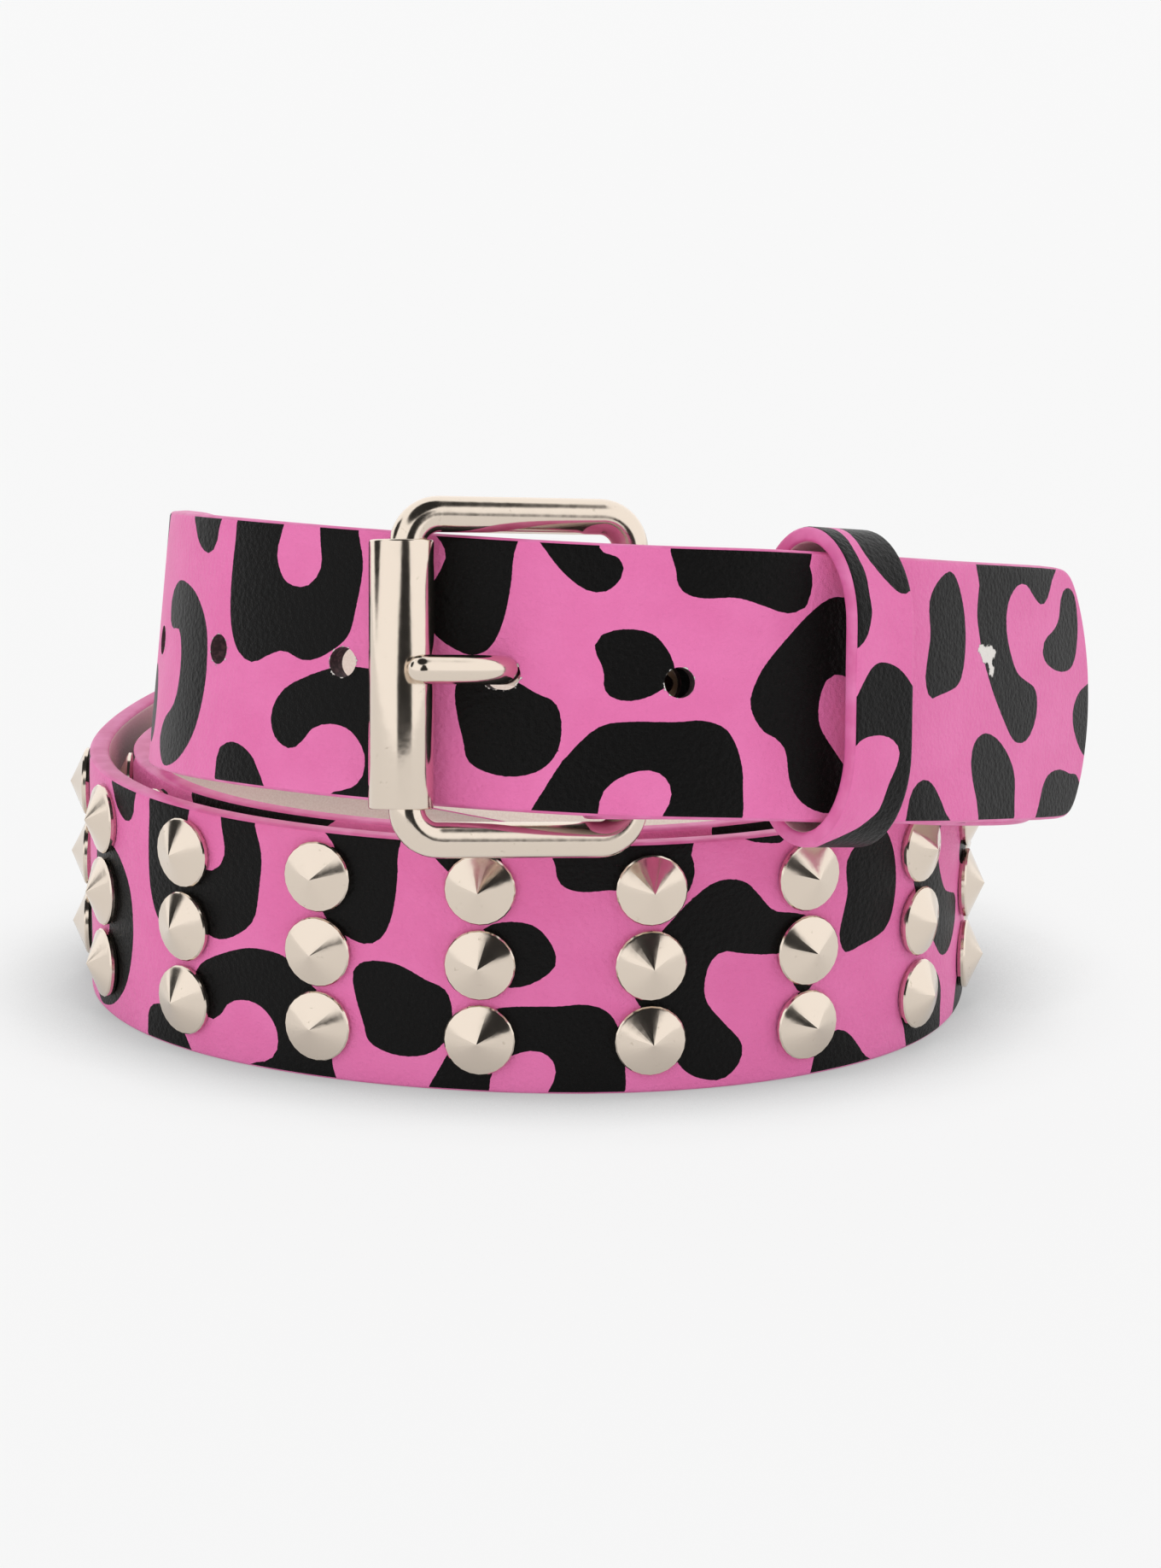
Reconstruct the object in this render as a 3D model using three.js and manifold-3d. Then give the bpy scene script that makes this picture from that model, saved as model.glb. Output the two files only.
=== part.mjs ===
// A wide studded belt, fastened and wound into a coil that stands on its edge.
// Millimetres, +Z up. The floor is z = 0, the buckle faces -Y, and the origin is
// the middle of the underside.
import * as THREE from 'three';
import { mergeVertices } from 'three/addons/utils/BufferGeometryUtils.js';
import Module from 'manifold-3d';

const wasm = await Module();
wasm.setup();

// Strap
const STRAP_WIDTH = 38;
const STRAP_THICKNESS = 3.2;
const STATION_STEP = 6.5; // spacing of the sections where the strap has no studs
const TIP_RADIUS = 25; // the free end is a shallow arc
const TIP_LENGTH = 13;
const TIP_STEPS = 7;
const TIP_SHARPNESS = 16; // how tightly the arc's corners are rounded
const ROUTE_SAMPLES = 4000;

// The coil's own axis, measured from the middle of the underside
const COIL_X = -5.47;
const COIL_Y = 10.42;

// Route of the outer face's centre line, from the heel bar to the tip. x and y are
// measured from the coil's axis, height from the floor, and lean is how far the lower
// edge stands out, in degrees.
const ROUTE_COLUMNS = ['x', 'y', 'height', 'lean'];
const ROUTE = [
  // behind the buckle and the free end
  [14.0, -82.3, 67.7, 13],
  [22.8, -81.4, 67.5, 13],
  [31.4, -78.5, 66.7, 12],
  [41.3, -72.7, 65.2, 10],
  [50.6, -63.3, 62.9, 8.5],
  [60.7, -47.9, 58.8, 7.5],
  [70.4, -29.4, 54.4, 6.5],
  [74.2, -12.0, 50.6, 5],
  [76.0, 10.0, 45.6, 4],
  [72.6, 37.0, 39.8, 2],
  [56.5, 58.5, 35.0, 1],
  [29.0, 69.5, 31.3, 0],
  [-4.0, 70.8, 28.0, 0],
  [-34.0, 63.0, 24.9, 0],
  [-55.5, 48.0, 22.0, 0],
  [-66.4, 29.5, 20.0, 0],
  // outer turn, on the floor
  [-70.1, 8.5, 19.1, 0],
  [-65.9, -13.5, 19, 0],
  [-52.2, -34.3, 19, 0],
  [-31.6, -48.2, 19, 0],
  [-7.8, -55.2, 19, 0],
  [17.1, -54.9, 19, 0],
  [40.2, -45.7, 19, 0],
  [57.7, -28.1, 19, 0],
  [66.1, -4.7, 19, 0],
  [66.3, 18.0, 19, 0],
  [57.0, 38.5, 19, 0],
  [38.0, 52.8, 19, 0],
  [12.0, 59.5, 19, 0],
  [-14.0, 58.6, 19, 0],
  [-36.0, 51.6, 19, 0],
  [-51.5, 40.3, 19, 0],
  [-60.3, 25.0, 19, 0],
  // inner turn, on the floor
  [-63.3, 7.5, 19, 0],
  [-59.3, -11.0, 19, 0],
  [-47.0, -29.2, 19, 0],
  [-28.4, -41.4, 19, 0],
  [-6.7, -47.4, 19, 0],
  [15.5, -46.9, 19, 0],
  [35.6, -38.7, 19, 0],
  [50.8, -23.7, 19, 0],
  [58.3, -3.6, 19.2, 0],
  [58.5, 16.0, 20.2, 0],
  [50.3, 34.0, 22.8, 0],
  [33.5, 46.5, 26.8, 0],
  [11.0, 52.0, 31.4, 1],
  [-12.0, 50.3, 36.4, 2],
  [-31.0, 43.4, 41.8, 3],
  [-44.3, 33.6, 46.8, 4],
  [-52.7, 19.5, 52.2, 5],
  // rises over both rims to the buckle
  [-56.0, 3.0, 56.7, 5.5],
  [-56.7, -15.5, 60.2, 5.5],
  [-55.0, -38.0, 64.2, 6],
  [-45.5, -60.8, 67.7, 9],
  [-26.8, -76.8, 69.3, 12],
  [-3.8, -84.8, 69.4, 13],
  [20.4, -86.2, 68.7, 13],
  [32.9, -82.7, 67.7, 11.5],
  [42.8, -76.9, 66.1, 10],
  [53.7, -66.0, 63.4, 8.5],
  [64.0, -50.2, 59.8, 7.5],
  [74.7, -31.6, 55.7, 6.5],
  [84.4, -12.0, 51.3, 6],
];

// Holes, counted back from the tip
const HOLE_RADIUS = 2.15;
const HOLE_SIDES = 8;
const HOLE_COUNT = 5;
const HOLE_PITCH = 24.4;
const TIP_TO_FIRST_HOLE = 103.7;

// Cone studs, three to a column
const STUD_RADIUS = 5.05;
const STUD_RIM = 0.8;
const STUD_HEIGHT = 3.4;
const STUD_SIDES = 10;
const STUD_ROOT = 0.8; // how deep a stud is let into the strap
const STUD_PITCH = 25;
const STUD_ROW_PITCH = 11.38;
const STUD_LIFT = 0.65; // the middle row sits a little above the strap's middle
const FIRST_STUD = 91.8;
const STUD_COLUMNS = 39;

// Buckle: a bent wire frame with a loose roller on one bar and the strap on the other
const WIRE_RADIUS = 2.55;
const WIRE_SIDES = 10;
const FRAME_HEIGHT = 50.5;
const FRAME_LIFT = 0.8; // the frame sits a little above the strap's middle
const BAR_SPACING = 33;
const FRAME_CORNER = 4.6;
const ARM_YAW = 16.5; // how far the roller bar stands forward of the strap
const BAR_PLAY = 1; // between the heel bar and the fold round it
const ROLLER_RADIUS = 4.55;
const ROLLER_WALL = 0.7;
const ROLLER_LENGTH = 37.4;
const ROLLER_SIDES = 16;
const ROLLER_SHIFT = { left: 0.8, forward: 0.3, up: 0.3 };

// Prong: a wire curled round the heel bar. Its route is measured from that bar: to the
// left, forward and up.
const PRONG_RADIUS = 1.95;
const PRONG_SIDES = 8;
const PRONG_STEPS = 12;
const PRONG_RING_STEPS = 12;
const PRONG_COLUMNS = ['left', 'forward', 'up'];
const PRONG_ROUTE = [
  [2.8, 3.4, 0.1],
  [9.0, 1.5, 1.2],
  [13.6, 1.7, 1.9],
  [16.8, 4.2, 2.1],
  [18.6, 7.8, 2.1],
  [21.2, 11.8, 2.1],
  [25.2, 14.6, 2.1],
  [29.7, 16.6, 2.1],
];
const PRONG_PLAY = 0.3;
const PRONG_CLEARANCE = 0.4;
const PASSAGE_STEPS = 5;

// The strap's end is folded back round the heel bar
const FOLD_LENGTH = 21;
const FOLD_CLOSES_AT = 14;
const FOLD_OVERLAP = 0.2;
const FOLD_ARC_STEPS = 10;
const SLOT = { length: 15, width: 6, right: 6.8, front: 0.1, back: 0.7 };

// Keeper loop
const KEEPER_FROM_HEEL = 30.5;
const KEEPER_WIDTH = 13;
const KEEPER_WALL = 2.2;
const KEEPER_DEPTH = 19;
const KEEPER_HEIGHT = 45.2;
const KEEPER_CORNER = 7;
const KEEPER_FORWARD = 0.7;
const KEEPER_YAW = 8;

const COLOURS = {
  strap: { color: 0xe070b4, roughness: 0.5, metalness: 0 },
  nickel: { color: 0xcdc6b8, roughness: 0.22, metalness: 1 },
};

const radians = THREE.MathUtils.degToRad;
const vector = (x, y, z) => new THREE.Vector3(x, y, z);

// Natural cubic spline through values at the given places
function spline(places, values) {
  const last = places.length - 1;
  const bend = new Array(places.length).fill(0);
  const carry = new Array(places.length).fill(0);
  for (let i = 1; i < last; i++) {
    const before = places[i] - places[i - 1];
    const after = places[i + 1] - places[i];
    const share = before / (before + after);
    const pivot = share * bend[i - 1] + 2;
    bend[i] = (share - 1) / pivot;
    const turn = (values[i + 1] - values[i]) / after - (values[i] - values[i - 1]) / before;
    carry[i] = ((6 * turn) / (before + after) - share * carry[i - 1]) / pivot;
  }
  for (let i = last - 1; i >= 0; i--) bend[i] = bend[i] * bend[i + 1] + carry[i];
  return (place) => {
    let i = 0;
    while (i < last - 1 && place > places[i + 1]) i++;
    const span = places[i + 1] - places[i];
    const a = (places[i + 1] - place) / span;
    const b = 1 - a;
    const curve = ((a ** 3 - a) * bend[i] + (b ** 3 - b) * bend[i + 1]) * (span * span) / 6;
    return a * values[i] + b * values[i + 1] + curve;
  };
}

// The route as a table of distance along the strap against the spline's own parameter
const rows = ROUTE.map((row) => Object.fromEntries(ROUTE_COLUMNS.map((name, i) => [name, row[i]])));
const places = [0];
for (let i = 1; i < rows.length; i++) {
  const a = rows[i - 1];
  const b = rows[i];
  places.push(places[i - 1] + Math.hypot(b.x - a.x, b.y - a.y, b.height - a.height));
}
const routeX = spline(places, rows.map((row) => row.x + COIL_X));
const routeY = spline(places, rows.map((row) => row.y + COIL_Y));
const routeZ = spline(places, rows.map((row) => row.height));
const routeLean = spline(places, rows.map((row) => row.lean));
const placeEnd = places[places.length - 1];
const facePoint = (place) => {
  const height = Math.max(routeZ(place), STRAP_WIDTH / 2);
  return vector(routeX(place), routeY(place), height);
};
const distances = [0];
for (let i = 1; i <= ROUTE_SAMPLES; i++) {
  const from = facePoint(((i - 1) * placeEnd) / ROUTE_SAMPLES);
  const to = facePoint((i * placeEnd) / ROUTE_SAMPLES);
  distances.push(distances[i - 1] + from.distanceTo(to));
}
const STRAP_LENGTH = distances[ROUTE_SAMPLES];

// The strap's outer face at a distance from the heel bar: its point and three directions
function station(distance) {
  const wanted = Math.min(Math.max(distance, 0), STRAP_LENGTH);
  let low = 0;
  let high = ROUTE_SAMPLES;
  while (high - low > 1) {
    const middle = (low + high) >> 1;
    if (distances[middle] > wanted) high = middle;
    else low = middle;
  }
  const part = (wanted - distances[low]) / (distances[high] - distances[low]);
  const place = ((low + part) * placeEnd) / ROUTE_SAMPLES;
  const reach = placeEnd / ROUTE_SAMPLES;
  const along = facePoint(Math.min(place + reach, placeEnd));
  along.sub(facePoint(Math.max(place - reach, 0))).normalize();
  const level = vector(along.y, -along.x, 0).normalize();
  const rise = level.clone().cross(along);
  const lean = radians(routeLean(place));
  const up = rise.clone().multiplyScalar(Math.cos(lean)).addScaledVector(level, -Math.sin(lean));
  const out = level.multiplyScalar(Math.cos(lean)).addScaledVector(rise, Math.sin(lean));
  return { point: facePoint(place), along, up, out };
}

// A point set off from a station: outwards, upwards and along the strap
function offset(at, out, up = 0, along = 0) {
  const point = at.point.clone().addScaledVector(at.out, out);
  return point.addScaledVector(at.up, up).addScaledVector(at.along, along);
}

// A closed body through rings of equal point count, either capped or joined end to end
function loft(rings, closed = false) {
  const count = rings[0].length;
  const positions = rings.flat().flatMap((point) => point.toArray());
  const faces = [];
  const links = closed ? rings.length : rings.length - 1;
  for (let r = 0; r < links; r++) {
    const here = r * count;
    const next = ((r + 1) % rings.length) * count;
    for (let i = 0; i < count; i++) {
      const j = (i + 1) % count;
      faces.push(here + i, here + j, next + j, here + i, next + j, next + i);
    }
  }
  if (!closed) {
    const end = (rings.length - 1) * count;
    for (let i = 1; i < count - 1; i++) faces.push(0, i + 1, i, end, end + i, end + i + 1);
  }
  const geometry = new THREE.BufferGeometry();
  geometry.setAttribute('position', new THREE.Float32BufferAttribute(positions, 3));
  geometry.setIndex(faces);
  return geometry;
}

function toSolid(geometry) {
  const bare = geometry.clone();
  bare.deleteAttribute('normal');
  bare.deleteAttribute('uv');
  const merged = mergeVertices(bare);
  const mesh = new wasm.Mesh({
    numProp: 3,
    vertProperties: new Float32Array(merged.attributes.position.array),
    triVerts: new Uint32Array(merged.index.array),
  });
  return new wasm.Manifold(mesh);
}

function toGeometry(solid) {
  const mesh = solid.getMesh();
  const geometry = new THREE.BufferGeometry();
  geometry.setAttribute('position', new THREE.BufferAttribute(mesh.vertProperties, 3));
  geometry.setIndex(new THREE.BufferAttribute(mesh.triVerts, 1));
  geometry.computeVertexNormals();
  return geometry;
}

// The strap's section: inner top, outer top, outer bottom, inner bottom
function strapRing(at, half = STRAP_WIDTH / 2) {
  return [
    offset(at, -STRAP_THICKNESS, half),
    offset(at, 0, half),
    offset(at, 0, -half),
    offset(at, -STRAP_THICKNESS, -half),
  ];
}

// A matrix that puts a geometry's x, y and z on three directions at a point
function placement(x, y, z, point) {
  return new THREE.Matrix4().makeBasis(x, y, z).setPosition(point);
}

// Round bar, pin or cutter with flat ends, along a station's outward direction
function peg(at, up, radius, from, to, sides) {
  const geometry = new THREE.CylinderGeometry(radius, radius, to - from, sides);
  geometry.applyMatrix4(placement(at.along.clone().negate(), at.out, at.up, offset(at, (from + to) / 2, up)));
  return geometry;
}

// Tube of round section along a curve
function tube(points, radius, sides, steps) {
  const curve = new THREE.CatmullRomCurve3(points);
  const frames = curve.computeFrenetFrames(steps, false);
  const rings = [];
  for (let i = 0; i <= steps; i++) {
    const centre = curve.getPointAt(i / steps);
    const ring = [];
    for (let k = 0; k < sides; k++) {
      const angle = (k / sides) * Math.PI * 2;
      const spoke = frames.normals[i].clone().multiplyScalar(Math.cos(angle) * radius);
      ring.push(spoke.addScaledVector(frames.binormals[i], Math.sin(angle) * radius).add(centre));
    }
    rings.push(ring);
  }
  return loft(rings);
}

// Heel bar, seen from the strap in front of it and behind it
const heel = station(0);
const heelReach = STRAP_THICKNESS + BAR_PLAY + WIRE_RADIUS;
const heelBar = offset(heel, -heelReach);
const left = heel.along.clone().negate();
const fromHeel = (toLeft, forward, up = 0) => {
  const point = heelBar.clone().addScaledVector(left, toLeft).addScaledVector(heel.out, forward);
  return point.addScaledVector(heel.up, up);
};
const prongPoints = PRONG_ROUTE.map((row) => {
  const place = Object.fromEntries(PRONG_COLUMNS.map((name, i) => [name, row[i]]));
  return fromHeel(place.left, place.forward, place.up);
});

// Distances of the strap's sections. Each stud column sits in the middle of a flat.
function sectionPlaces(end) {
  const studsBegin = FIRST_STUD - STUD_PITCH / 4;
  const flats = STUD_COLUMNS * 2 - 1;
  const studsEnd = studsBegin + (flats * STUD_PITCH) / 2;
  const spread = (from, to, count) => {
    return Array.from({ length: count }, (_, i) => from + ((to - from) * i) / count);
  };
  return [
    ...spread(0, studsBegin, Math.round(studsBegin / STATION_STEP)),
    ...spread(studsBegin, studsEnd, flats),
    ...spread(studsEnd, end, Math.round((end - studsEnd) / STATION_STEP)),
    end,
  ];
}

// Half the strap's width at a distance from the tip
function tipHalf(fromTip) {
  const arc = Math.sqrt(2 * TIP_RADIUS * fromTip - fromTip ** 2);
  const edge = STRAP_WIDTH / 2;
  return (arc ** -TIP_SHARPNESS + edge ** -TIP_SHARPNESS) ** (-1 / TIP_SHARPNESS);
}

// Strap: folded end, coil and rounded tip, with the studs set in it and the holes cut
function makeStrap() {
  const rings = [];
  for (let i = FOLD_ARC_STEPS; i > 0; i--) {
    const angle = (i / FOLD_ARC_STEPS) * Math.PI;
    const out = heel.out.clone().multiplyScalar(Math.cos(angle)).addScaledVector(left, Math.sin(angle));
    const along = heel.along.clone().multiplyScalar(Math.cos(angle));
    along.addScaledVector(heel.out, Math.sin(angle));
    const point = heelBar.clone().addScaledVector(out, heelReach);
    rings.push(strapRing({ point, out, up: heel.up, along }));
  }
  for (const distance of sectionPlaces(STRAP_LENGTH - TIP_LENGTH)) {
    rings.push(strapRing(station(distance)));
  }
  for (let i = TIP_STEPS - 1; i >= 0; i--) {
    const fromTip = TIP_LENGTH * ((i + 0.35) / TIP_STEPS) ** 2;
    rings.push(strapRing(station(STRAP_LENGTH - fromTip), tipHalf(fromTip)));
  }
  let solid = toSolid(loft(rings));

  const foldRings = [];
  const foldSteps = Math.round(FOLD_LENGTH / STATION_STEP);
  const open = 2 * heelReach;
  const closed = 2 * STRAP_THICKNESS - FOLD_OVERLAP;
  for (let i = foldSteps * 2; i >= 0; i--) {
    const distance = (i * FOLD_LENGTH) / (foldSteps * 2);
    const near = THREE.MathUtils.smoothstep(distance, 0, FOLD_CLOSES_AT);
    const at = station(distance);
    const back = offset(at, -THREE.MathUtils.lerp(open, closed, near), 0, i ? 0 : -1);
    const along = at.along.clone().negate();
    foldRings.push(strapRing({ point: back, out: at.out.clone().negate(), up: at.up, along }));
  }
  solid = solid.add(toSolid(loft(foldRings)));

  const studs = [];
  for (let column = 0; column < STUD_COLUMNS; column++) {
    const at = station(FIRST_STUD + column * STUD_PITCH);
    for (let row = -1; row <= 1; row++) {
      const up = STUD_LIFT + row * STUD_ROW_PITCH;
      const profile = [
        new THREE.Vector2(0, -STUD_ROOT),
        new THREE.Vector2(STUD_RADIUS, -STUD_ROOT),
        new THREE.Vector2(STUD_RADIUS, STUD_RIM),
        new THREE.Vector2(0, STUD_HEIGHT),
      ];
      const stud = new THREE.LatheGeometry(profile, STUD_SIDES);
      stud.applyMatrix4(placement(at.along.clone().negate(), at.out, at.up, offset(at, 0, up)));
      studs.push(toSolid(stud));
    }
  }
  solid = solid.add(wasm.Manifold.union(studs));

  for (let i = 0; i < HOLE_COUNT; i++) {
    const at = station(STRAP_LENGTH - TIP_TO_FIRST_HOLE - i * HOLE_PITCH);
    solid = solid.subtract(toSolid(peg(at, 0, HOLE_RADIUS, -5, 1, HOLE_SIDES)));
  }
  const wide = PRONG_RADIUS + PRONG_CLEARANCE;
  const passage = tube(prongPoints.slice(2, 7), wide, PRONG_SIDES, PASSAGE_STEPS);
  solid = solid.subtract(toSolid(passage));
  const slotDepth = 2 * heelReach + SLOT.front + SLOT.back;
  const slot = new THREE.BoxGeometry(SLOT.length, slotDepth, SLOT.width);
  const slotCentre = fromHeel(SLOT.length / 2 - SLOT.right, (SLOT.front - SLOT.back) / 2);
  slot.applyMatrix4(placement(left, heel.out, heel.up, slotCentre));
  return toGeometry(solid.subtract(toSolid(slot)));
}

// Buckle frame: one wire bent to a rounded rectangle
const toRollerBar = left.clone().multiplyScalar(Math.cos(radians(ARM_YAW)));
toRollerBar.addScaledVector(heel.out, Math.sin(radians(ARM_YAW)));
const framePlane = (along, up) => {
  const point = heelBar.clone().addScaledVector(toRollerBar, along);
  return point.addScaledVector(heel.up, up + FRAME_LIFT);
};
function makeFrame() {
  const halfHeight = FRAME_HEIGHT / 2 - WIRE_RADIUS;
  const corners = [
    [0, -halfHeight, 180],
    [0, halfHeight, 90],
    [BAR_SPACING, halfHeight, 0],
    [BAR_SPACING, -halfHeight, -90],
  ];
  const normal = toRollerBar.clone().cross(heel.up);
  const rings = [];
  for (const [along, up, begin] of corners) {
    const inAlong = along === 0 ? FRAME_CORNER : BAR_SPACING - FRAME_CORNER;
    const inUp = up > 0 ? halfHeight - FRAME_CORNER : FRAME_CORNER - halfHeight;
    for (let i = 0; i <= 4; i++) {
      const angle = radians(begin + 90 - i * 22.5);
      const spoke = toRollerBar.clone().multiplyScalar(Math.cos(angle));
      spoke.addScaledVector(heel.up, Math.sin(angle));
      const centre = framePlane(inAlong, inUp).addScaledVector(spoke, FRAME_CORNER);
      const ring = [];
      for (let k = 0; k < WIRE_SIDES; k++) {
        const turn = (k / WIRE_SIDES) * Math.PI * 2;
        const point = centre.clone().addScaledVector(spoke, WIRE_RADIUS * Math.cos(turn));
        ring.push(point.addScaledVector(normal, WIRE_RADIUS * Math.sin(turn)));
      }
      rings.push(ring);
    }
  }
  return loft(rings, true);
}

const rollerCentre = framePlane(BAR_SPACING, 0)
  .addScaledVector(left, ROLLER_SHIFT.left)
  .addScaledVector(heel.out, ROLLER_SHIFT.forward)
  .addScaledVector(heel.up, ROLLER_SHIFT.up);
function makeRoller() {
  const inner = ROLLER_RADIUS - ROLLER_WALL;
  const half = ROLLER_LENGTH / 2;
  const profile = [
    new THREE.Vector2(inner, -half),
    new THREE.Vector2(ROLLER_RADIUS, -half),
    new THREE.Vector2(ROLLER_RADIUS, half),
    new THREE.Vector2(inner, half),
    new THREE.Vector2(inner, -half),
  ];
  const geometry = new THREE.LatheGeometry(profile, ROLLER_SIDES);
  const forward = heel.out.clone().negate();
  geometry.applyMatrix4(placement(left, heel.up, forward, rollerCentre));
  return toGeometry(toSolid(geometry));
}

// Prong: a ring round the heel bar and a curved shank with a rounded end
function makeProng() {
  const around = WIRE_RADIUS + PRONG_PLAY + PRONG_RADIUS;
  const rings = [];
  for (let i = 0; i < PRONG_RING_STEPS; i++) {
    const angle = (i / PRONG_RING_STEPS) * Math.PI * 2;
    const spoke = left.clone().multiplyScalar(Math.cos(angle)).addScaledVector(heel.out, Math.sin(angle));
    const centre = heelBar.clone().addScaledVector(spoke, around);
    const ring = [];
    for (let k = 0; k < PRONG_SIDES; k++) {
      const turn = (-k / PRONG_SIDES) * Math.PI * 2;
      const point = centre.clone().addScaledVector(spoke, PRONG_RADIUS * Math.cos(turn));
      ring.push(point.addScaledVector(heel.up, PRONG_RADIUS * Math.sin(turn)));
    }
    rings.push(ring);
  }
  const end = new THREE.SphereGeometry(PRONG_RADIUS, PRONG_SIDES, 4);
  end.translate(...prongPoints[prongPoints.length - 1].toArray());
  let solid = toSolid(loft(rings, true));
  solid = solid.add(toSolid(tube(prongPoints, PRONG_RADIUS, PRONG_SIDES, PRONG_STEPS)));
  return toGeometry(solid.add(toSolid(end)));
}

// Keeper: a leather loop round the free end and the folded end
function makeKeeper() {
  const outline = (depth, height, corner) => {
    const path = new THREE.Shape();
    const x = depth / 2;
    const y = height / 2;
    path.moveTo(-x + corner, -y);
    path.lineTo(x - corner, -y);
    path.absarc(x - corner, -y + corner, corner, -Math.PI / 2, 0);
    path.lineTo(x, y - corner);
    path.absarc(x - corner, y - corner, corner, 0, Math.PI / 2);
    path.lineTo(-x + corner, y);
    path.absarc(-x + corner, y - corner, corner, Math.PI / 2, Math.PI);
    path.lineTo(-x, -y + corner);
    path.absarc(-x + corner, -y + corner, corner, Math.PI, Math.PI * 1.5);
    return path;
  };
  const shape = outline(KEEPER_DEPTH, KEEPER_HEIGHT, KEEPER_CORNER);
  const inside = 2 * KEEPER_WALL;
  shape.holes.push(outline(KEEPER_DEPTH - inside, KEEPER_HEIGHT - inside, KEEPER_CORNER - KEEPER_WALL));
  const geometry = new THREE.ExtrudeGeometry(shape, {
    depth: KEEPER_WIDTH,
    bevelEnabled: false,
    curveSegments: 4,
  });
  geometry.translate(0, 0, -KEEPER_WIDTH / 2);
  const at = station(KEEPER_FROM_HEEL);
  const yaw = radians(KEEPER_YAW);
  const forward = at.out.clone().multiplyScalar(Math.cos(yaw)).addScaledVector(at.along, Math.sin(yaw));
  const along = at.along.clone().multiplyScalar(Math.cos(yaw)).addScaledVector(at.out, -Math.sin(yaw));
  geometry.applyMatrix4(placement(forward, at.up, along.negate(), offset(at, KEEPER_FORWARD)));
  return geometry;
}

function piece(name, geometry, finish) {
  const mesh = new THREE.Mesh(geometry, new THREE.MeshStandardMaterial(COLOURS[finish]));
  mesh.name = name;
  return mesh;
}

const belt = new THREE.Group();
belt.add(piece('strap', makeStrap(), 'strap'));
belt.add(piece('buckle_frame', makeFrame(), 'nickel'));
belt.add(piece('roller', makeRoller(), 'nickel'));
belt.add(piece('prong', makeProng(), 'nickel'));
belt.add(piece('keeper', makeKeeper(), 'strap'));

export default belt;
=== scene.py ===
import math
import random

import bmesh
import bpy
import numpy as np
from mathutils import Matrix, Vector


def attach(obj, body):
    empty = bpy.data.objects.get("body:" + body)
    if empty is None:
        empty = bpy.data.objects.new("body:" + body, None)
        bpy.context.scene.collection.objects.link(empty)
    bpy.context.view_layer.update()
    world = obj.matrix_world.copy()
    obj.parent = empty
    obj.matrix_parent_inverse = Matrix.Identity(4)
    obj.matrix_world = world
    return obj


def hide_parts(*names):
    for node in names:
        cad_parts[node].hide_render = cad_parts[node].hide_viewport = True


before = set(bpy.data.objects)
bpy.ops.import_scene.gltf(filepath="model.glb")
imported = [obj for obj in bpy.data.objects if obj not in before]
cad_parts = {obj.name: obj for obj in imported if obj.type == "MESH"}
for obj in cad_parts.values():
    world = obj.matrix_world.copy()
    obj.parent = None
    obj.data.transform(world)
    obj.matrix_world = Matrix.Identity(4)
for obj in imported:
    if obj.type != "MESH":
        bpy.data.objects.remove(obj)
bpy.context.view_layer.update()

# The strap
# One band of coated leather with a beige lining and painted edges, cut to a blunt round
# tip and punched. Its other end is folded back round the buckle's bar, slotted for the
# prong, and the print repeats along it.
MM = 0.001
STRAP_WIDTH = 38
STRAP_THICKNESS = 3.2
COIL_X = -5.47
COIL_Y = 10.42
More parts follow.
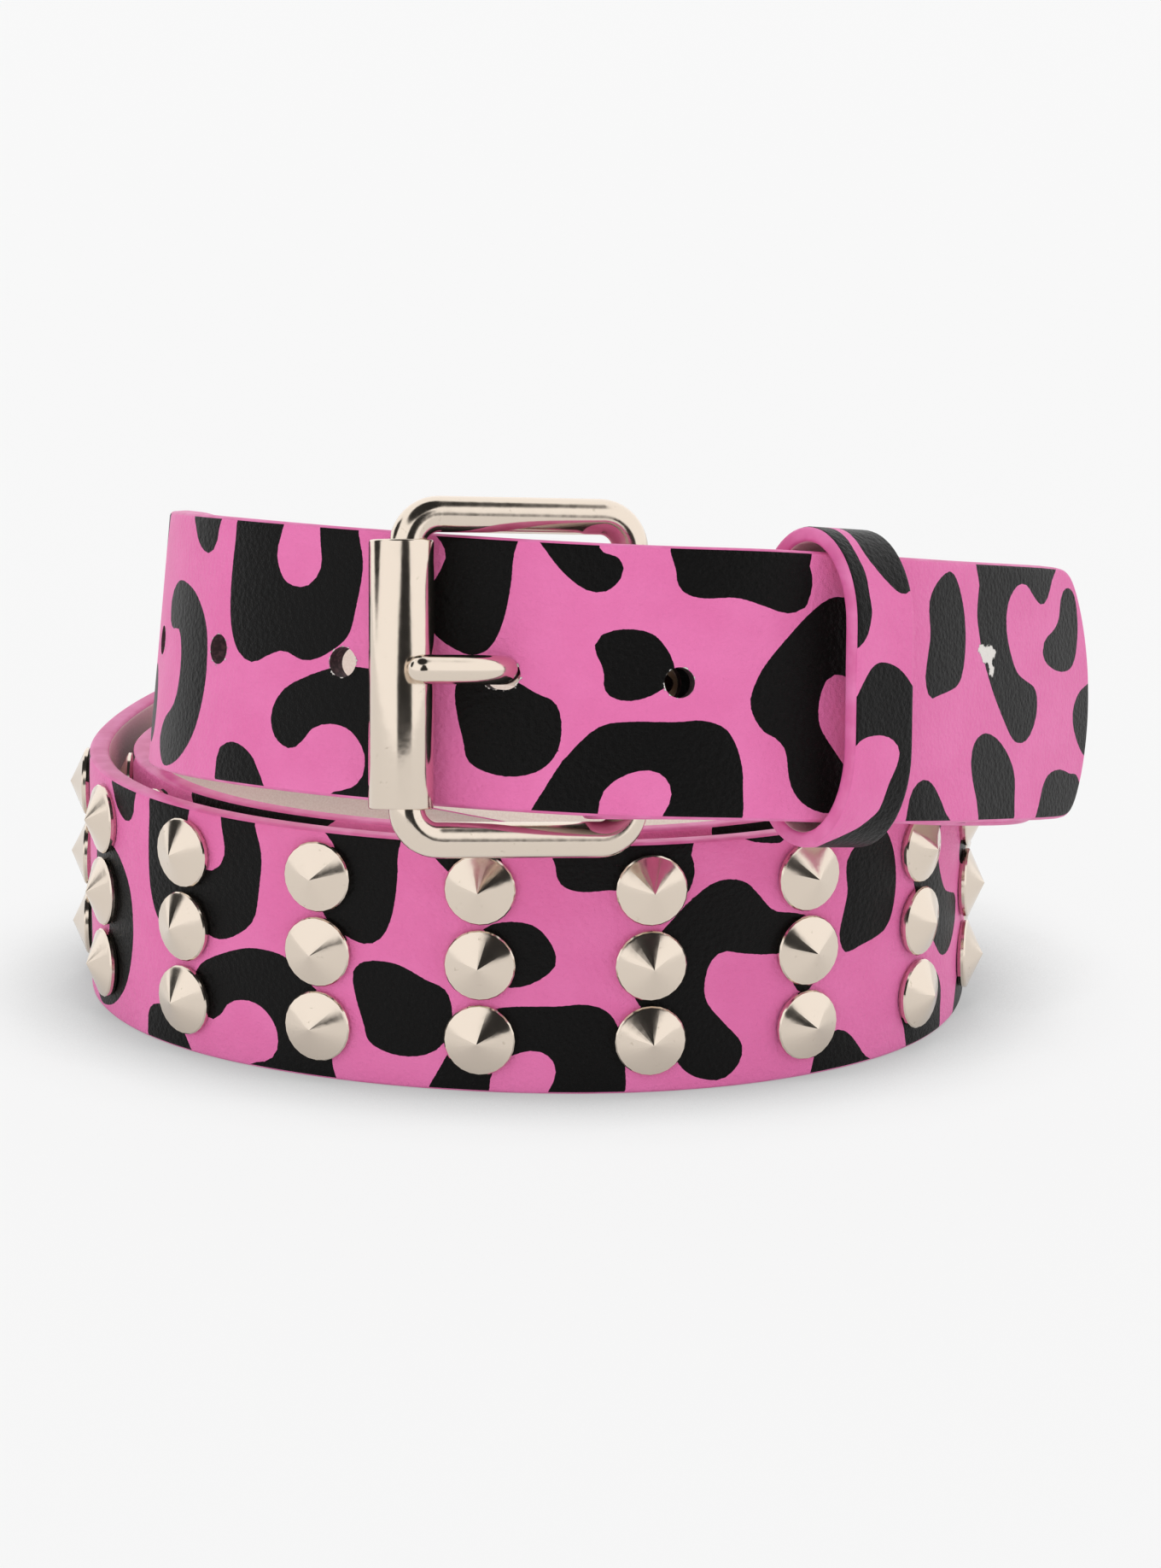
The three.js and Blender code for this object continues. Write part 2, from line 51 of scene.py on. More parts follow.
# It is wound twice on the floor, then rises over both rims to the front. A row holds x
# and y from the coil's axis, height from the floor, and how far the lower edge stands
# out, in degrees. Everything on the strap is placed by a distance along this path, in mm.
ROUTE = [
    # behind the buckle and the free end
    (14, -82.3, 67.7, 13),
    (22.8, -81.4, 67.5, 13),
    (31.4, -78.5, 66.7, 12),
    (41.3, -72.7, 65.2, 10),
    (50.6, -63.3, 62.9, 8.5),
    (60.7, -47.9, 58.8, 7.5),
    (70.4, -29.4, 54.4, 6.5),
    (74.2, -12, 50.6, 5),
    (76, 10, 45.6, 4),
    (72.6, 37, 39.8, 2),
    (56.5, 58.5, 35, 1),
    (29, 69.5, 31.3, 0),
    (-4, 70.8, 28, 0),
    (-34, 63, 24.9, 0),
    (-55.5, 48, 22, 0),
    (-66.4, 29.5, 20, 0),
    # outer turn, on the floor
    (-70.1, 8.5, 19.1, 0),
    (-65.9, -13.5, 19, 0),
    (-52.2, -34.3, 19, 0),
    (-31.6, -48.2, 19, 0),
    (-7.8, -55.2, 19, 0),
    (17.1, -54.9, 19, 0),
    (40.2, -45.7, 19, 0),
    (57.7, -28.1, 19, 0),
    (66.1, -4.7, 19, 0),
    (66.3, 18, 19, 0),
    (57, 38.5, 19, 0),
    (38, 52.8, 19, 0),
    (12, 59.5, 19, 0),
    (-14, 58.6, 19, 0),
    (-36, 51.6, 19, 0),
    (-51.5, 40.3, 19, 0),
    (-60.3, 25, 19, 0),
    # inner turn, on the floor
    (-63.3, 7.5, 19, 0),
    (-59.3, -11, 19, 0),
    (-47, -29.2, 19, 0),
    (-28.4, -41.4, 19, 0),
    (-6.7, -47.4, 19, 0),
    (15.5, -46.9, 19, 0),
    (35.6, -38.7, 19, 0),
    (50.8, -23.7, 19, 0),
    (58.3, -3.6, 19.2, 0),
    (58.5, 16, 20.2, 0),
    (50.3, 34, 22.8, 0),
    (33.5, 46.5, 26.8, 0),
    (11, 52, 31.4, 1),
    (-12, 50.3, 36.4, 2),
    (-31, 43.4, 41.8, 3),
    (-44.3, 33.6, 46.8, 4),
    (-52.7, 19.5, 52.2, 5),
    # rises over both rims to the buckle
    (-56, 3, 56.7, 5.5),
    (-56.7, -15.5, 60.2, 5.5),
    (-55, -38, 64.2, 6),
    (-45.5, -60.8, 67.7, 9),
    (-26.8, -76.8, 69.3, 12),
    (-3.8, -84.8, 69.4, 13),
    (20.4, -86.2, 68.7, 13),
    (32.9, -82.7, 67.7, 11.5),
    (42.8, -76.9, 66.1, 10),
    (53.7, -66, 63.4, 8.5),
    (64, -50.2, 59.8, 7.5),
    (74.7, -31.6, 55.7, 6.5),
    (84.4, -12, 51.3, 6),
]
ROUTE_SAMPLES = 16000


def curve_through(at, values):
    """A natural cubic spline through values at the places given."""
    gap = np.diff(at)
    slope = np.diff(values) / gap
    system = np.eye(len(at))
    load = np.zeros(len(at))
    for i in range(1, len(at) - 1):
        system[i, i - 1:i + 2] = gap[i - 1], 2 * (gap[i - 1] + gap[i]), gap[i]
        load[i] = 6 * (slope[i] - slope[i - 1])
    bend = np.linalg.solve(system, load)

    def value(place):
        i = np.clip(np.searchsorted(at, place) - 1, 0, len(gap) - 1)
        far = (place - at[i]) / gap[i]
        near = 1 - far
        curve = (near ** 3 - near) * bend[i] + (far ** 3 - far) * bend[i + 1]
        return near * values[i] + far * values[i + 1] + curve * gap[i] ** 2 / 6

    return value


def unit(vectors):
    return vectors / np.linalg.norm(vectors, axis=-1, keepdims=True)


route = np.array(ROUTE, float)
route_steps = np.linalg.norm(np.diff(route[:, :3], axis=0), axis=1)
route_places = np.concatenate([[0], np.cumsum(route_steps)])
samples = np.linspace(0, route_places[-1], ROUTE_SAMPLES + 1)
face_line = np.stack([curve_through(route_places, route[:, k])(samples) for k in range(3)], 1)
face_line += (COIL_X, COIL_Y, 0)
face_line[:, 2] = np.maximum(face_line[:, 2], STRAP_WIDTH / 2)
lean = np.radians(curve_through(route_places, route[:, 3])(samples))[:, None]
sample_steps = np.linalg.norm(np.diff(face_line, axis=0), axis=1)
distances = np.concatenate([[0], np.cumsum(sample_steps)])
STRAP_LENGTH = distances[-1]

along_line = unit(np.gradient(face_line, axis=0))
level = unit(np.stack([along_line[:, 1], -along_line[:, 0], np.zeros(len(samples))], 1))
rise = np.cross(level, along_line)
up_line = rise * np.cos(lean) - level * np.sin(lean)
out_line = level * np.cos(lean) + rise * np.sin(lean)


def station(distance):
    """Point, along, up and out of the strap's outer face at one or many distances, in mm."""
    def read(line):
        return np.stack([np.interp(distance, distances, line[:, k]) for k in range(3)], -1)

    return read(face_line), unit(read(along_line)), unit(read(up_line)), unit(read(out_line))


EDGE_ROUND = 0.75
ROUND_STEPS = 3
SIDE_STEPS = 2
FACE_ROWS = 27


def band_section(half, thickness, rounding, rows):
    """Half of a band's rounded section, and the same turned about its middle."""
    flat = half - rounding
    points = [(flat * (2 * k / rows - 1), 0, rounding) for k in range(rows + 1)]
    bends = [k / ROUND_STEPS * math.pi / 2 for k in range(1, ROUND_STEPS + 1)]
    for turn in bends:
        inside = rounding * (1 - math.sin(turn))
        points.append((half - inside, rounding * (math.cos(turn) - 1), inside))
    for k in range(1, SIDE_STEPS + 1):
        depth = rounding + (thickness - 2 * rounding) * k / SIDE_STEPS
        points.append((half, -depth, 0))
    for turn in bends[:-1]:
        inside = rounding * (1 - math.cos(turn))
        points.append((half - inside, rounding - thickness - rounding * math.sin(turn), inside))
    points += [(-v, -thickness - w, e) for v, w, e in points]
    return np.array(points + points[:1])


def rolled_band(columns, section):
    """A flat grid with a row for each point of the section, to be rolled into a tube along it; its seam
    is welded later.
    """
    body = bmesh.new()
    across = len(section) - 1
    bmesh.ops.create_grid(body, x_segments=columns, y_segments=across, size=0.5)
    bmesh.ops.translate(body, verts=body.verts, vec=(0.5, 0.5, 0))
    bmesh.ops.scale(body, verts=body.verts, vec=(columns, across, 1))
    return body


def points_of(mesh):
    points = np.empty(len(mesh.vertices) * 3)
    mesh.vertices.foreach_get("co", points)
    return points.reshape(-1, 3)


def set_points(mesh, points):
    mesh.vertices.foreach_set("co", points.ravel())
    mesh.update()


TIP_SPAN = 18
TIP_COLUMNS = 24
TIP_RADIUS = 25
TIP_SHARPNESS = 16


def tip_half(from_tip, inside):
    """Half the strap's width at a distance from the tip, for an outline moved inwards."""
    arc = np.sqrt(np.maximum(2 * (TIP_RADIUS - inside) * from_tip - from_tip ** 2, 1e-9))
    edge = STRAP_WIDTH / 2 - inside
    return (arc ** -TIP_SHARPNESS + edge ** -TIP_SHARPNESS) ** (-1 / TIP_SHARPNESS)


WIRE_RADIUS = 2.55
BAR_PLAY = 1
HEEL_REACH = STRAP_THICKNESS + BAR_PLAY + WIRE_RADIUS
FOLD_TURN = math.pi * HEEL_REACH
FOLD_LENGTH = 21
COLUMN_STEP = 1.4
strap_section = band_section(STRAP_WIDTH / 2, STRAP_THICKNESS, EDGE_ROUND, FACE_ROWS)
fold_start = -FOLD_TURN - FOLD_LENGTH
plain_columns = round((STRAP_LENGTH - TIP_SPAN - fold_start) / COLUMN_STEP)
body = rolled_band(plain_columns + TIP_COLUMNS, strap_section)
strap_mesh = bpy.data.meshes.new("strap")
body.to_mesh(strap_mesh)
body.free()
grid = points_of(strap_mesh)
column = grid[:, 0]
place = strap_section[np.rint(grid[:, 1]).astype(int)]
across, depth, inside = place[:, 0], place[:, 1], place[:, 2]
plain = fold_start + column / plain_columns * (STRAP_LENGTH - TIP_SPAN - fold_start)
to_tip = np.clip((plain_columns + TIP_COLUMNS - column) / TIP_COLUMNS, 0, 1) ** 2
to_tip = to_tip * (TIP_SPAN - inside)
in_tip = column > plain_columns
flat = np.stack([
    np.where(in_tip, STRAP_LENGTH - inside - to_tip, plain),
    np.where(in_tip, across * tip_half(to_tip, inside) / (STRAP_WIDTH / 2 - inside), across),
    depth,
], 1)
flat[column > plain_columns + TIP_COLUMNS - 0.5, 1] = 0
set_points(strap_mesh, flat)

body = bmesh.new()
body.from_mesh(strap_mesh)
bmesh.ops.remove_doubles(body, verts=body.verts, dist=0.001)
bmesh.ops.holes_fill(body, edges=[e for e in body.edges if e.is_boundary], sides=0)

# A finer grid where the punch and the slotting tool go through, and at the worn chip
HOLE_RADIUS = 2.15
HOLE_COUNT = 5
HOLE_PITCH = 24.4
TIP_TO_FIRST_HOLE = 103.7
PRONG_HOLE = 1  # counted from the hole nearest the tip
PRONG_STRETCH = 0.7  # half of how far the prong has drawn its hole out
SLOT_WIDTH = 6
SLOT_REACH = 6.8  # past the bar, in both layers
CHIP_FROM_HOLE = 64
CHIP_UP = 4.6
CHIP_REACH = (2, 1)
FINE_CUTS = 3
FINE_MARGIN = 2.2
hole_places = []
for k in range(HOLE_COUNT):
    hole_places.append(STRAP_LENGTH - TIP_TO_FIRST_HOLE - k * HOLE_PITCH)
slot_from = -FOLD_TURN - SLOT_REACH
slot_middle = (slot_from + SLOT_REACH) / 2
cuts = [(s, HOLE_RADIUS, HOLE_RADIUS) for s in hole_places]
stretched = hole_places[PRONG_HOLE] - PRONG_STRETCH
cuts[PRONG_HOLE] = (stretched, HOLE_RADIUS + PRONG_STRETCH, HOLE_RADIUS)
cuts.append((slot_middle, SLOT_REACH - slot_middle, SLOT_WIDTH / 2))
fine_areas = [(s, 0, half_length, half_width) for s, half_length, half_width in cuts]
fine_areas.append((hole_places[0] + CHIP_FROM_HOLE, CHIP_UP, *CHIP_REACH))
fine = set()
for face in body.faces:
    middle = face.calc_center_median()
    if abs(face.normal.z) > 0.9:
        for s, v, half_length, half_width in fine_areas:
            near_along = abs(middle.x - s) < half_length + FINE_MARGIN
            if near_along and abs(middle.y - v) < half_width + FINE_MARGIN:
                fine.update(face.edges)
bmesh.ops.subdivide_edges(body, edges=list(fine), cuts=FINE_CUTS, use_grid_fill=True)
bmesh.ops.recalc_face_normals(body, faces=body.faces)
body.to_mesh(strap_mesh)
body.free()

# Each tool is a round bar, or for a slot and for the stretched hole a bar with two round
# ends, pushed right through
HOLE_SIDES = 36
TOOL_SPARE = 4
tools = bmesh.new()
for s, half_length, half_width in cuts:
    run = half_length - half_width
    made = bmesh.ops.create_cone(
        tools, cap_ends=True, segments=HOLE_SIDES, radius1=half_width, radius2=half_width,
        depth=STRAP_THICKNESS + TOOL_SPARE)
    for vert in made["verts"]:
        vert.co.x += math.copysign(run, vert.co.x) + s
        vert.co.z -= STRAP_THICKNESS / 2
tool_mesh = bpy.data.meshes.new("punches")
tools.to_mesh(tool_mesh)
tools.free()
tool_object = bpy.data.objects.new("punches", tool_mesh)
flat_strap = bpy.data.objects.new("flat_strap", strap_mesh)
for made in (tool_object, flat_strap):
    bpy.context.collection.objects.link(made)
punch = flat_strap.modifiers.new("punch", "BOOLEAN")
punch.operation = "DIFFERENCE"
punch.solver = "EXACT"
punch.object = tool_object
bpy.context.view_layer.update()
punched = flat_strap.evaluated_get(bpy.context.evaluated_depsgraph_get())
strap_mesh = bpy.data.meshes.new_from_object(punched)
for made in (tool_object, flat_strap):
    bpy.data.objects.remove(made)

body = bmesh.new()
body.from_mesh(strap_mesh)
bmesh.ops.triangulate(body, faces=[face for face in body.faces if len(face.verts) > 4])
SHARP_ANGLE = math.radians(50)
FLAT_NORMAL = 0.9
FACE_MARGIN = 0.3
PRINTED, EDGE, LINING, CORE = range(4)


def sort_faces(body, thickness):
    """Gives each face of a flat band its surface, and keeps cut corners sharp."""
    for face in body.faces:
        face.smooth = True
        middle = face.calc_center_median().z
        face.material_index = EDGE
        if face.normal.z > FLAT_NORMAL and middle > -FACE_MARGIN:
            face.material_index = PRINTED
        elif face.normal.z < -FLAT_NORMAL and middle < FACE_MARGIN - thickness:
            face.material_index = LINING
    for edge in body.edges:
        if len(edge.link_faces) == 2 and edge.calc_face_angle() > SHARP_ANGLE:
            edge.smooth = False


sort_faces(body, STRAP_THICKNESS)
# The walls of the holes and of the slot show the cut core, coloured near-black as painted shade inside
# the holes
for face in body.faces:
    if face.material_index == EDGE and abs(face.calc_center_median().y) < STRAP_WIDTH / 4:
        at = face.calc_center_median().x
        if fold_start + 1 < at < STRAP_LENGTH - TIP_SPAN:
            face.material_index = CORE
body.to_mesh(strap_mesh)
body.free()

# The print is charted as smooth black outlines, in millimetres along from the hole
# nearest the tip and up from the strap's middle. It repeats like the roll it came from.
PRINT_REPEAT = 261.6
PRINT_FROM = -97  # where the charted repeat begins
PRINT_FAR = 3
PRINT_SMOOTHING = 5
BLOTCHES = [
    [(-84.1, 20), (-83.3, 17.4), (-81.5, 14.9), (-78.4, 13.5), (-76.1, 14.6), (-75.5, 17),
     (-75.5, 20)],
    [(-86.5, 9.1), (-90, 8.8), (-93.1, 6.5), (-93, 3.2), (-90.9, 2), (-87.7, 2), (-86, -0.8),
     (-86.1, -5.5), (-88, -9), (-92.7, -11.4), (-95.1, -14.5), (-92.7, -17.5), (-89, -18),
     (-83.5, -16.3), (-78.9, -12.2), (-76.6, -6), (-76.5, 0), (-77.9, 4.2), (-81.5, 7.6)],
    [(-70, 20), (-71, 15.5), (-71.3, 9), (-70.7, 4), (-68.7, 0.2), (-65.3, -1.3), (-62, 0),
     (-59.2, 0.8), (-55.3, -0.3), (-51.5, 1), (-48.3, 3.8), (-47.3, 8.5), (-46.8, 13.5),
     (-47.7, 17.3), (-49, 20), (-54.1, 20), (-54.3, 17.3), (-53.7, 13.2), (-55.3, 10.6),
     (-57.7, 10), (-60.3, 11), (-61.9, 14.5), (-61.5, 20)],
    [(-70.9, -20), (-72, -16.5), (-71.2, -13.9), (-68.3, -12.9), (-65.1, -13.8), (-62.9, -15.8),
     (-61.3, -20)],
    [(-46.1, -0.5), (-50, -0.8), (-55, -2.6), (-58.9, -4.8), (-60.7, -8.2), (-59.7, -11.4),
     (-56.9, -12.9), (-54.9, -12), (-52.9, -9.6), (-49.5, -8.8), (-46.5, -9.7), (-44.3, -12.5),
     (-44.3, -15.8), (-46.1, -17.6), (-48.9, -18.4), (-48.9, -20), (-35.3, -20), (-34.9, -16),
     (-34.7, -11), (-35.9, -7), (-39, -4.2), (-42.5, -1.2)],
    [(-36.1, 20), (-34.9, 17.6), (-34.2, 16), (-35.1, 13.4), (-36.5, 11), (-36.9, 8.5),
     (-35.7, 5.6), (-32.9, 3.5), (-29.5, 2.4), (-26.9, 3.6), (-25.3, 7), (-24.5, 12), (-24.4, 16),
     (-24.8, 20)],
    [(-31.5, -2.8), (-30.8, -0.9), (-28.5, 0), (-25, -0.1), (-22.5, -1), (-20, -2.3),
     (-17.2, -3.5), (-16.1, -6.5), (-16.5, -10.4), (-18.7, -13), (-22, -14.1), (-25.7, -13.9),
     (-28.9, -12.4), (-29.8, -9.6), (-30.9, -6.2)],
    [(-20.9, 20), (-19.7, 17.5), (-16.7, 14.3), (-13.5, 12.3), (-10.5, 12.4), (-8.5, 14.8),
     (-9.2, 17), (-11.9, 17.9), (-12.9, 20)],
    [(-12.1, 4.4), (-10.9, 6.4), (-7.5, 7.2), (-3.9, 6.6), (-1.5, 4), (-0.7, 1.2), (-1.9, -0.6),
     (-4.7, -2.3), (-7.9, -2.8), (-10.3, -1.6), (-10.7, 1.4)],
    [(-19.5, -20), (-17.9, -15.4), (-15.1, -10.8), (-11.3, -6.8), (-7.5, -5.7), (-0.6, -5.5),
     (3.5, -5.2), (6.9, -6.4), (8.9, -10), (9.5, -14.5), (8.5, -20), (-1.5, -20), (-0.7, -16),
     (-1.5, -13.4), (-4, -12.3), (-7.5, -13.3), (-10.1, -15.8), (-11.5, -20)],
    [(-0.3, 20), (-0.9, 15.5), (-0.1, 12.9), (2.8, 11.8), (7.9, 12), (12, 11), (15.5, 10.1),
     (18.5, 11), (19.7, 14.3), (19.1, 17), (17.8, 20)],
    [(10.3, -2.8), (11.3, 0.8), (13.1, 3.6), (16.1, 7), (19.1, 10), (22.3, 12.3), (25.1, 12.8),
     (27.9, 12), (30.1, 9.8), (32.5, 7.3), (36.5, 6.4), (39.5, 5), (40.9, 1.5), (40.7, -3),
     (38.9, -5.6), (36.7, -5.4), (35.1, -2), (33.7, 0.4), (30.5, 0.8), (26.9, 1.4), (24.5, 1.9),
     (22.5, 0.8), (21.4, -2.6), (21.9, -5.8), (24.9, -9.4), (27.4, -12.4), (27.1, -15.4),
     (24.5, -17.6), (21.5, -17.4), (18.9, -16.2), (17.1, -14), (16.4, -11), (16.1, -9.2),
     (14.7, -7.6), (12.1, -6.2)],
    [(26.5, 20), (28, 18.4), (31, 17.7), (34, 17.6), (35, 20)],
    [(40.5, -20), (40.1, -16), (41.7, -13.6), (44.1, -12.7), (46.5, -13.5), (48.9, -16),
     (50.1, -17.6), (52.5, -20)],
    [(45.7, 12.7), (45.8, 10), (46, 8), (45.1, 4.6), (44.5, 1.6), (45.8, -1), (48.7, -0.5),
     (52.1, 0.2), (54.7, 1.2), (56.3, 3.8), (57, 8.2), (56.3, 12.6), (54.5, 16), (52.3, 17.4),
     (49.3, 16.4), (46.9, 14.6)],
    [(62.9, 20), (61.6, 15.5), (60.8, 11.5), (61.4, 8.5), (62.7, 5), (65.7, 0.2), (69.5, -4.2),
     (72.5, -6.9), (75.1, -7.5), (78.1, -6.8), (80.9, -4), (81.5, -1), (80.3, 0.8), (77.1, 1.8),
     (73.9, 3.2), (71.3, 7), (70.5, 10.5), (71.5, 13.6), (74.5, 15.8), (77.7, 15.9), (80.5, 14.2),
     (83.3, 13.1), (85.7, 14.2), (87.5, 17), (88.3, 20)],
    [(62.1, -20), (59.9, -15.5), (58.7, -12.7), (58.3, -9.8), (59.5, -7.4), (61.9, -6.2),
     (64.5, -6.1), (67.9, -7.2), (71.1, -9.4), (73.1, -12.2), (73.1, -15.6), (71.9, -20)],
    [(83.7, 6.4), (84.9, 8.1), (88.1, 9.4), (90.3, 11.2), (91.1, 14.2), (92.9, 15.7), (95.5, 15.7),
     (97.5, 14), (98.4, 10), (97.5, 6), (95.5, 3.9), (91.9, 3.2), (87.7, 3.6), (84.5, 4.8)],
    [(108.9, -1), (106.5, 2.2), (102.5, 1.4), (98.7, 0), (96.3, -2.4), (96.3, -5), (98.5, -7.8),
     (101.5, -9.6), (106.5, -10.5), (109.3, -6.5)],
    [(82.1, -20), (82.5, -16), (84.1, -13.4), (86.5, -12), (90.5, -11.5), (94.5, -12.1),
     (98.5, -13), (101.5, -20)],
    [(106, 20), (107.5, 15), (112, 11.5), (119, 10.5), (124, 13), (126, 17), (126, 20)],
    [(128, 3), (131, 8), (137, 10.5), (143, 8.5), (146.5, 3), (146, -4), (141.5, -8), (137, -6.5),
     (138.5, -1), (137, 3), (133.5, 2), (132.5, -3), (129.5, -4.5), (127.5, -1)],
    [(114, 2.5), (118, 4.5), (122, 1.5), (122.5, -4), (119, -8), (114.5, -7), (112.5, -2.5)],
    [(124, -20), (125, -14.5), (129, -12), (133.5, -13.5), (135.5, -17), (136, -20)],
    [(148, 20), (147.5, 15), (151, 12.5), (156, 13.5), (159.5, 17), (160, 20)],
    [(150, -9), (153, -4.5), (158, -4), (161, -8), (160, -13.5), (155.5, -15.5), (151, -13.5)],
]


def smooth_outline(points):
    """A closed Catmull-Rom curve through an outline's points."""
    points = np.array(points, float)
    before, after, beyond = (np.roll(points, k, axis=0) for k in (1, -1, -2))
    steps = []
    for share in np.arange(PRINT_SMOOTHING) / PRINT_SMOOTHING:
        bend = 2 * before - 5 * points + 4 * after - beyond
        twist = 3 * points - before - 3 * after + beyond
        curve = 2 * points + (after - before) * share + bend * share ** 2 + twist * share ** 3
        steps.append(curve / 2)
    return np.stack(steps, 1).reshape(-1, 2)


def inside_outlines(x, y, outlines):
    """How far each point is inside the nearest outline, in mm, and below 0 outside them."""
    field = np.full(len(x), -float(PRINT_FAR))
    for outline in outlines:
        curve = smooth_outline(outline)
        low, high = curve.min(0) - PRINT_FAR, curve.max(0) + PRINT_FAR
        near = np.where((x > low[0]) & (x < high[0]) & (y > low[1]) & (y < high[1]))[0]
        at = np.stack([x[near], y[near]], 1)[:, None]
        side = np.roll(curve, -1, axis=0) - curve
        reach = at - curve
        share = np.clip((reach * side).sum(2) / (side ** 2).sum(1), 0, 1)
        gap = np.linalg.norm(reach - side * share[..., None], axis=2).min(1)
        above = (curve[:, 1] > at[..., 1]) != (np.roll(curve[:, 1], -1) > at[..., 1])
        with np.errstate(divide="ignore", invalid="ignore"):
            crossing = curve[:, 0] + (at[..., 1] - curve[:, 1]) * side[:, 0] / side[:, 1]
        hits = (above & (at[..., 0] < crossing)).sum(1)
        signed = np.where(hits % 2 == 1, gap, -gap)
        field[near] = np.maximum(field[near], signed)
    return field


def add_attribute(mesh, name, values):
    mesh.attributes.new(name, "FLOAT", "POINT").data.foreach_set("value", values)


def add_map(mesh, flat_points):
    """A UV map in decimetres along the band and up it."""
    corners = np.empty(len(mesh.loops), int)
    mesh.loops.foreach_get("vertex_index", corners)
    layer = mesh.uv_layers.new(name="band")
    layer.uv.foreach_set("vector", (flat_points[corners, :2] * 0.01).ravel())


flat = points_of(strap_mesh)
from_hole = flat[:, 0] - hole_places[0]
chart_x = (from_hole - PRINT_FROM) % PRINT_REPEAT + PRINT_FROM
repeats = []
for outline in BLOTCHES:
    for shift in (-PRINT_REPEAT, 0, PRINT_REPEAT):
        repeats.append([(x + shift, y) for x, y in outline])
add_attribute(strap_mesh, "print", inside_outlines(chart_x, flat[:, 1], repeats))
# The coat is chipped off in one place near the tip
CHIPS = [
    [(60.9, 6.6), (62.2, 7.1), (63.5, 6.6), (64.6, 7.0), (66.4, 6.4), (66.8, 5.2), (65.8, 4.6),
     (66.3, 3.2), (65.6, 2.2), (64.6, 2.9), (64.2, 4.3), (62.8, 4.2), (61.8, 5.2)],
]
chip_field = inside_outlines(from_hole, flat[:, 1], CHIPS)
add_map(strap_mesh, flat)

FOLD_CLOSES_AT = 14
FOLD_GAP = 0.1


def lay_strap(flat_points):
    """Lays flat points on the belt's path, and round the bar where they are before its start."""
    s, v, w = (flat_points[:, k][:, None] for k in range(3))
    behind = np.maximum(-s - FOLD_TURN, 0)[:, 0]
    point, along, up, out = station(np.where(s[:, 0] >= 0, s[:, 0], behind))
    ahead = point + out * w + up * v
    heel_point, heel_along, heel_up, heel_out = station(0)
    bar = heel_point - heel_out * HEEL_REACH
    turn = np.clip(-s / HEEL_REACH, 0, math.pi)
    spoke = heel_out * np.cos(turn) - heel_along * np.sin(turn)
    round_bar = bar + spoke * (HEEL_REACH + w) + heel_up * v
    closing = np.clip(behind / FOLD_CLOSES_AT, 0, 1)[:, None]
    closing = closing ** 2 * (3 - 2 * closing)
    layers = 2 * HEEL_REACH + (2 * STRAP_THICKNESS + FOLD_GAP - 2 * HEEL_REACH) * closing
    back = point - out * (layers + w) + up * v
    return np.where(s >= 0, ahead, np.where(s >= -FOLD_TURN, round_bar, back))


# The punch leaves a low lip round each hole, and the coat is worn through at its rim
HOLE_LIP = 0.14
HOLE_LIP_WIDTH = 0.45
RIM_WEAR = 0.05
near_hole = np.full(len(flat), 1e3)
for s, half_length, half_width in cuts[:HOLE_COUNT]:
    past_end = np.maximum(np.abs(flat[:, 0] - s) - (half_length - half_width), 0)
    near_hole = np.minimum(near_hole, np.hypot(past_end, flat[:, 1]) - half_width)
raised = HOLE_LIP * np.exp(-(near_hole / HOLE_LIP_WIDTH) ** 2)
flat[:, 2] += np.where((near_hole > -0.01) & (flat[:, 2] > -0.01), raised, 0)
worn_rim = RIM_WEAR - np.abs(near_hole)
add_attribute(strap_mesh, "chip", np.maximum(chip_field, worn_rim))
set_points(strap_mesh, lay_strap(flat) * MM)
strap = bpy.data.objects.new("strap_leather", strap_mesh)
bpy.context.collection.objects.link(strap)


def add_node(tree, kind, settings=(), **inputs):
    """Adds a node, sets its options, and sets or links its inputs by name."""
    node = tree.nodes.new(kind)
    for name, value in dict(settings).items():
        setattr(node, name, value)
    for name, value in inputs.items():
        socket = node.inputs[name.replace("_", " ")]
        if isinstance(value, bpy.types.NodeSocket):
            tree.links.new(value, socket)
        else:
            socket.default_value = value
    return node


def maths(tree, operation, *values):
    node = tree.nodes.new("ShaderNodeMath")
    node.operation = operation
    for socket, value in zip(node.inputs, values):
        if isinstance(value, bpy.types.NodeSocket):
            tree.links.new(value, socket)
        else:
            socket.default_value = value
    return node.outputs[0]


def blend(tree, share, first, second):
    """Mixes two colours, each a socket or plain values."""
    node = tree.nodes.new("ShaderNodeMix")
    node.data_type = "RGBA"
    for socket, value in zip((node.inputs[0], node.inputs[6], node.inputs[7]), (share, first, second)):
        if isinstance(value, bpy.types.NodeSocket):
            tree.links.new(value, socket)
        else:
            socket.default_value = value
    return node.outputs[2]


def ramp(tree, value, low, high, to_low=0, to_high=1):
    settings = {"interpolation_type": "SMOOTHSTEP"}
    node = add_node(tree, "ShaderNodeMapRange", settings, Value=value, From_Min=low, From_Max=high,
                    To_Min=to_low, To_Max=to_high)
    return node.outputs["Result"]


def noise(tree, vector, scale, detail=2, rough=0.5):
    node = add_node(tree, "ShaderNodeTexNoise", Vector=vector, Scale=scale, Detail=detail,
                    Roughness=rough)
    return node.outputs["Fac"]


def new_material(name):
    material = bpy.data.materials.new(name)
    material.use_nodes = True
    return material, material.node_tree, material.node_tree.nodes["Principled BSDF"]


PINK = (0.81, 0.195, 0.45, 1)
PINK_SHADE = (0.78, 0.175, 0.42, 1)
BLACK = (0.0028, 0.0026, 0.0025, 1)
BLACK_WORN = (0.009, 0.008, 0.008, 1)
BARE = (0.80, 0.76, 0.72, 1)
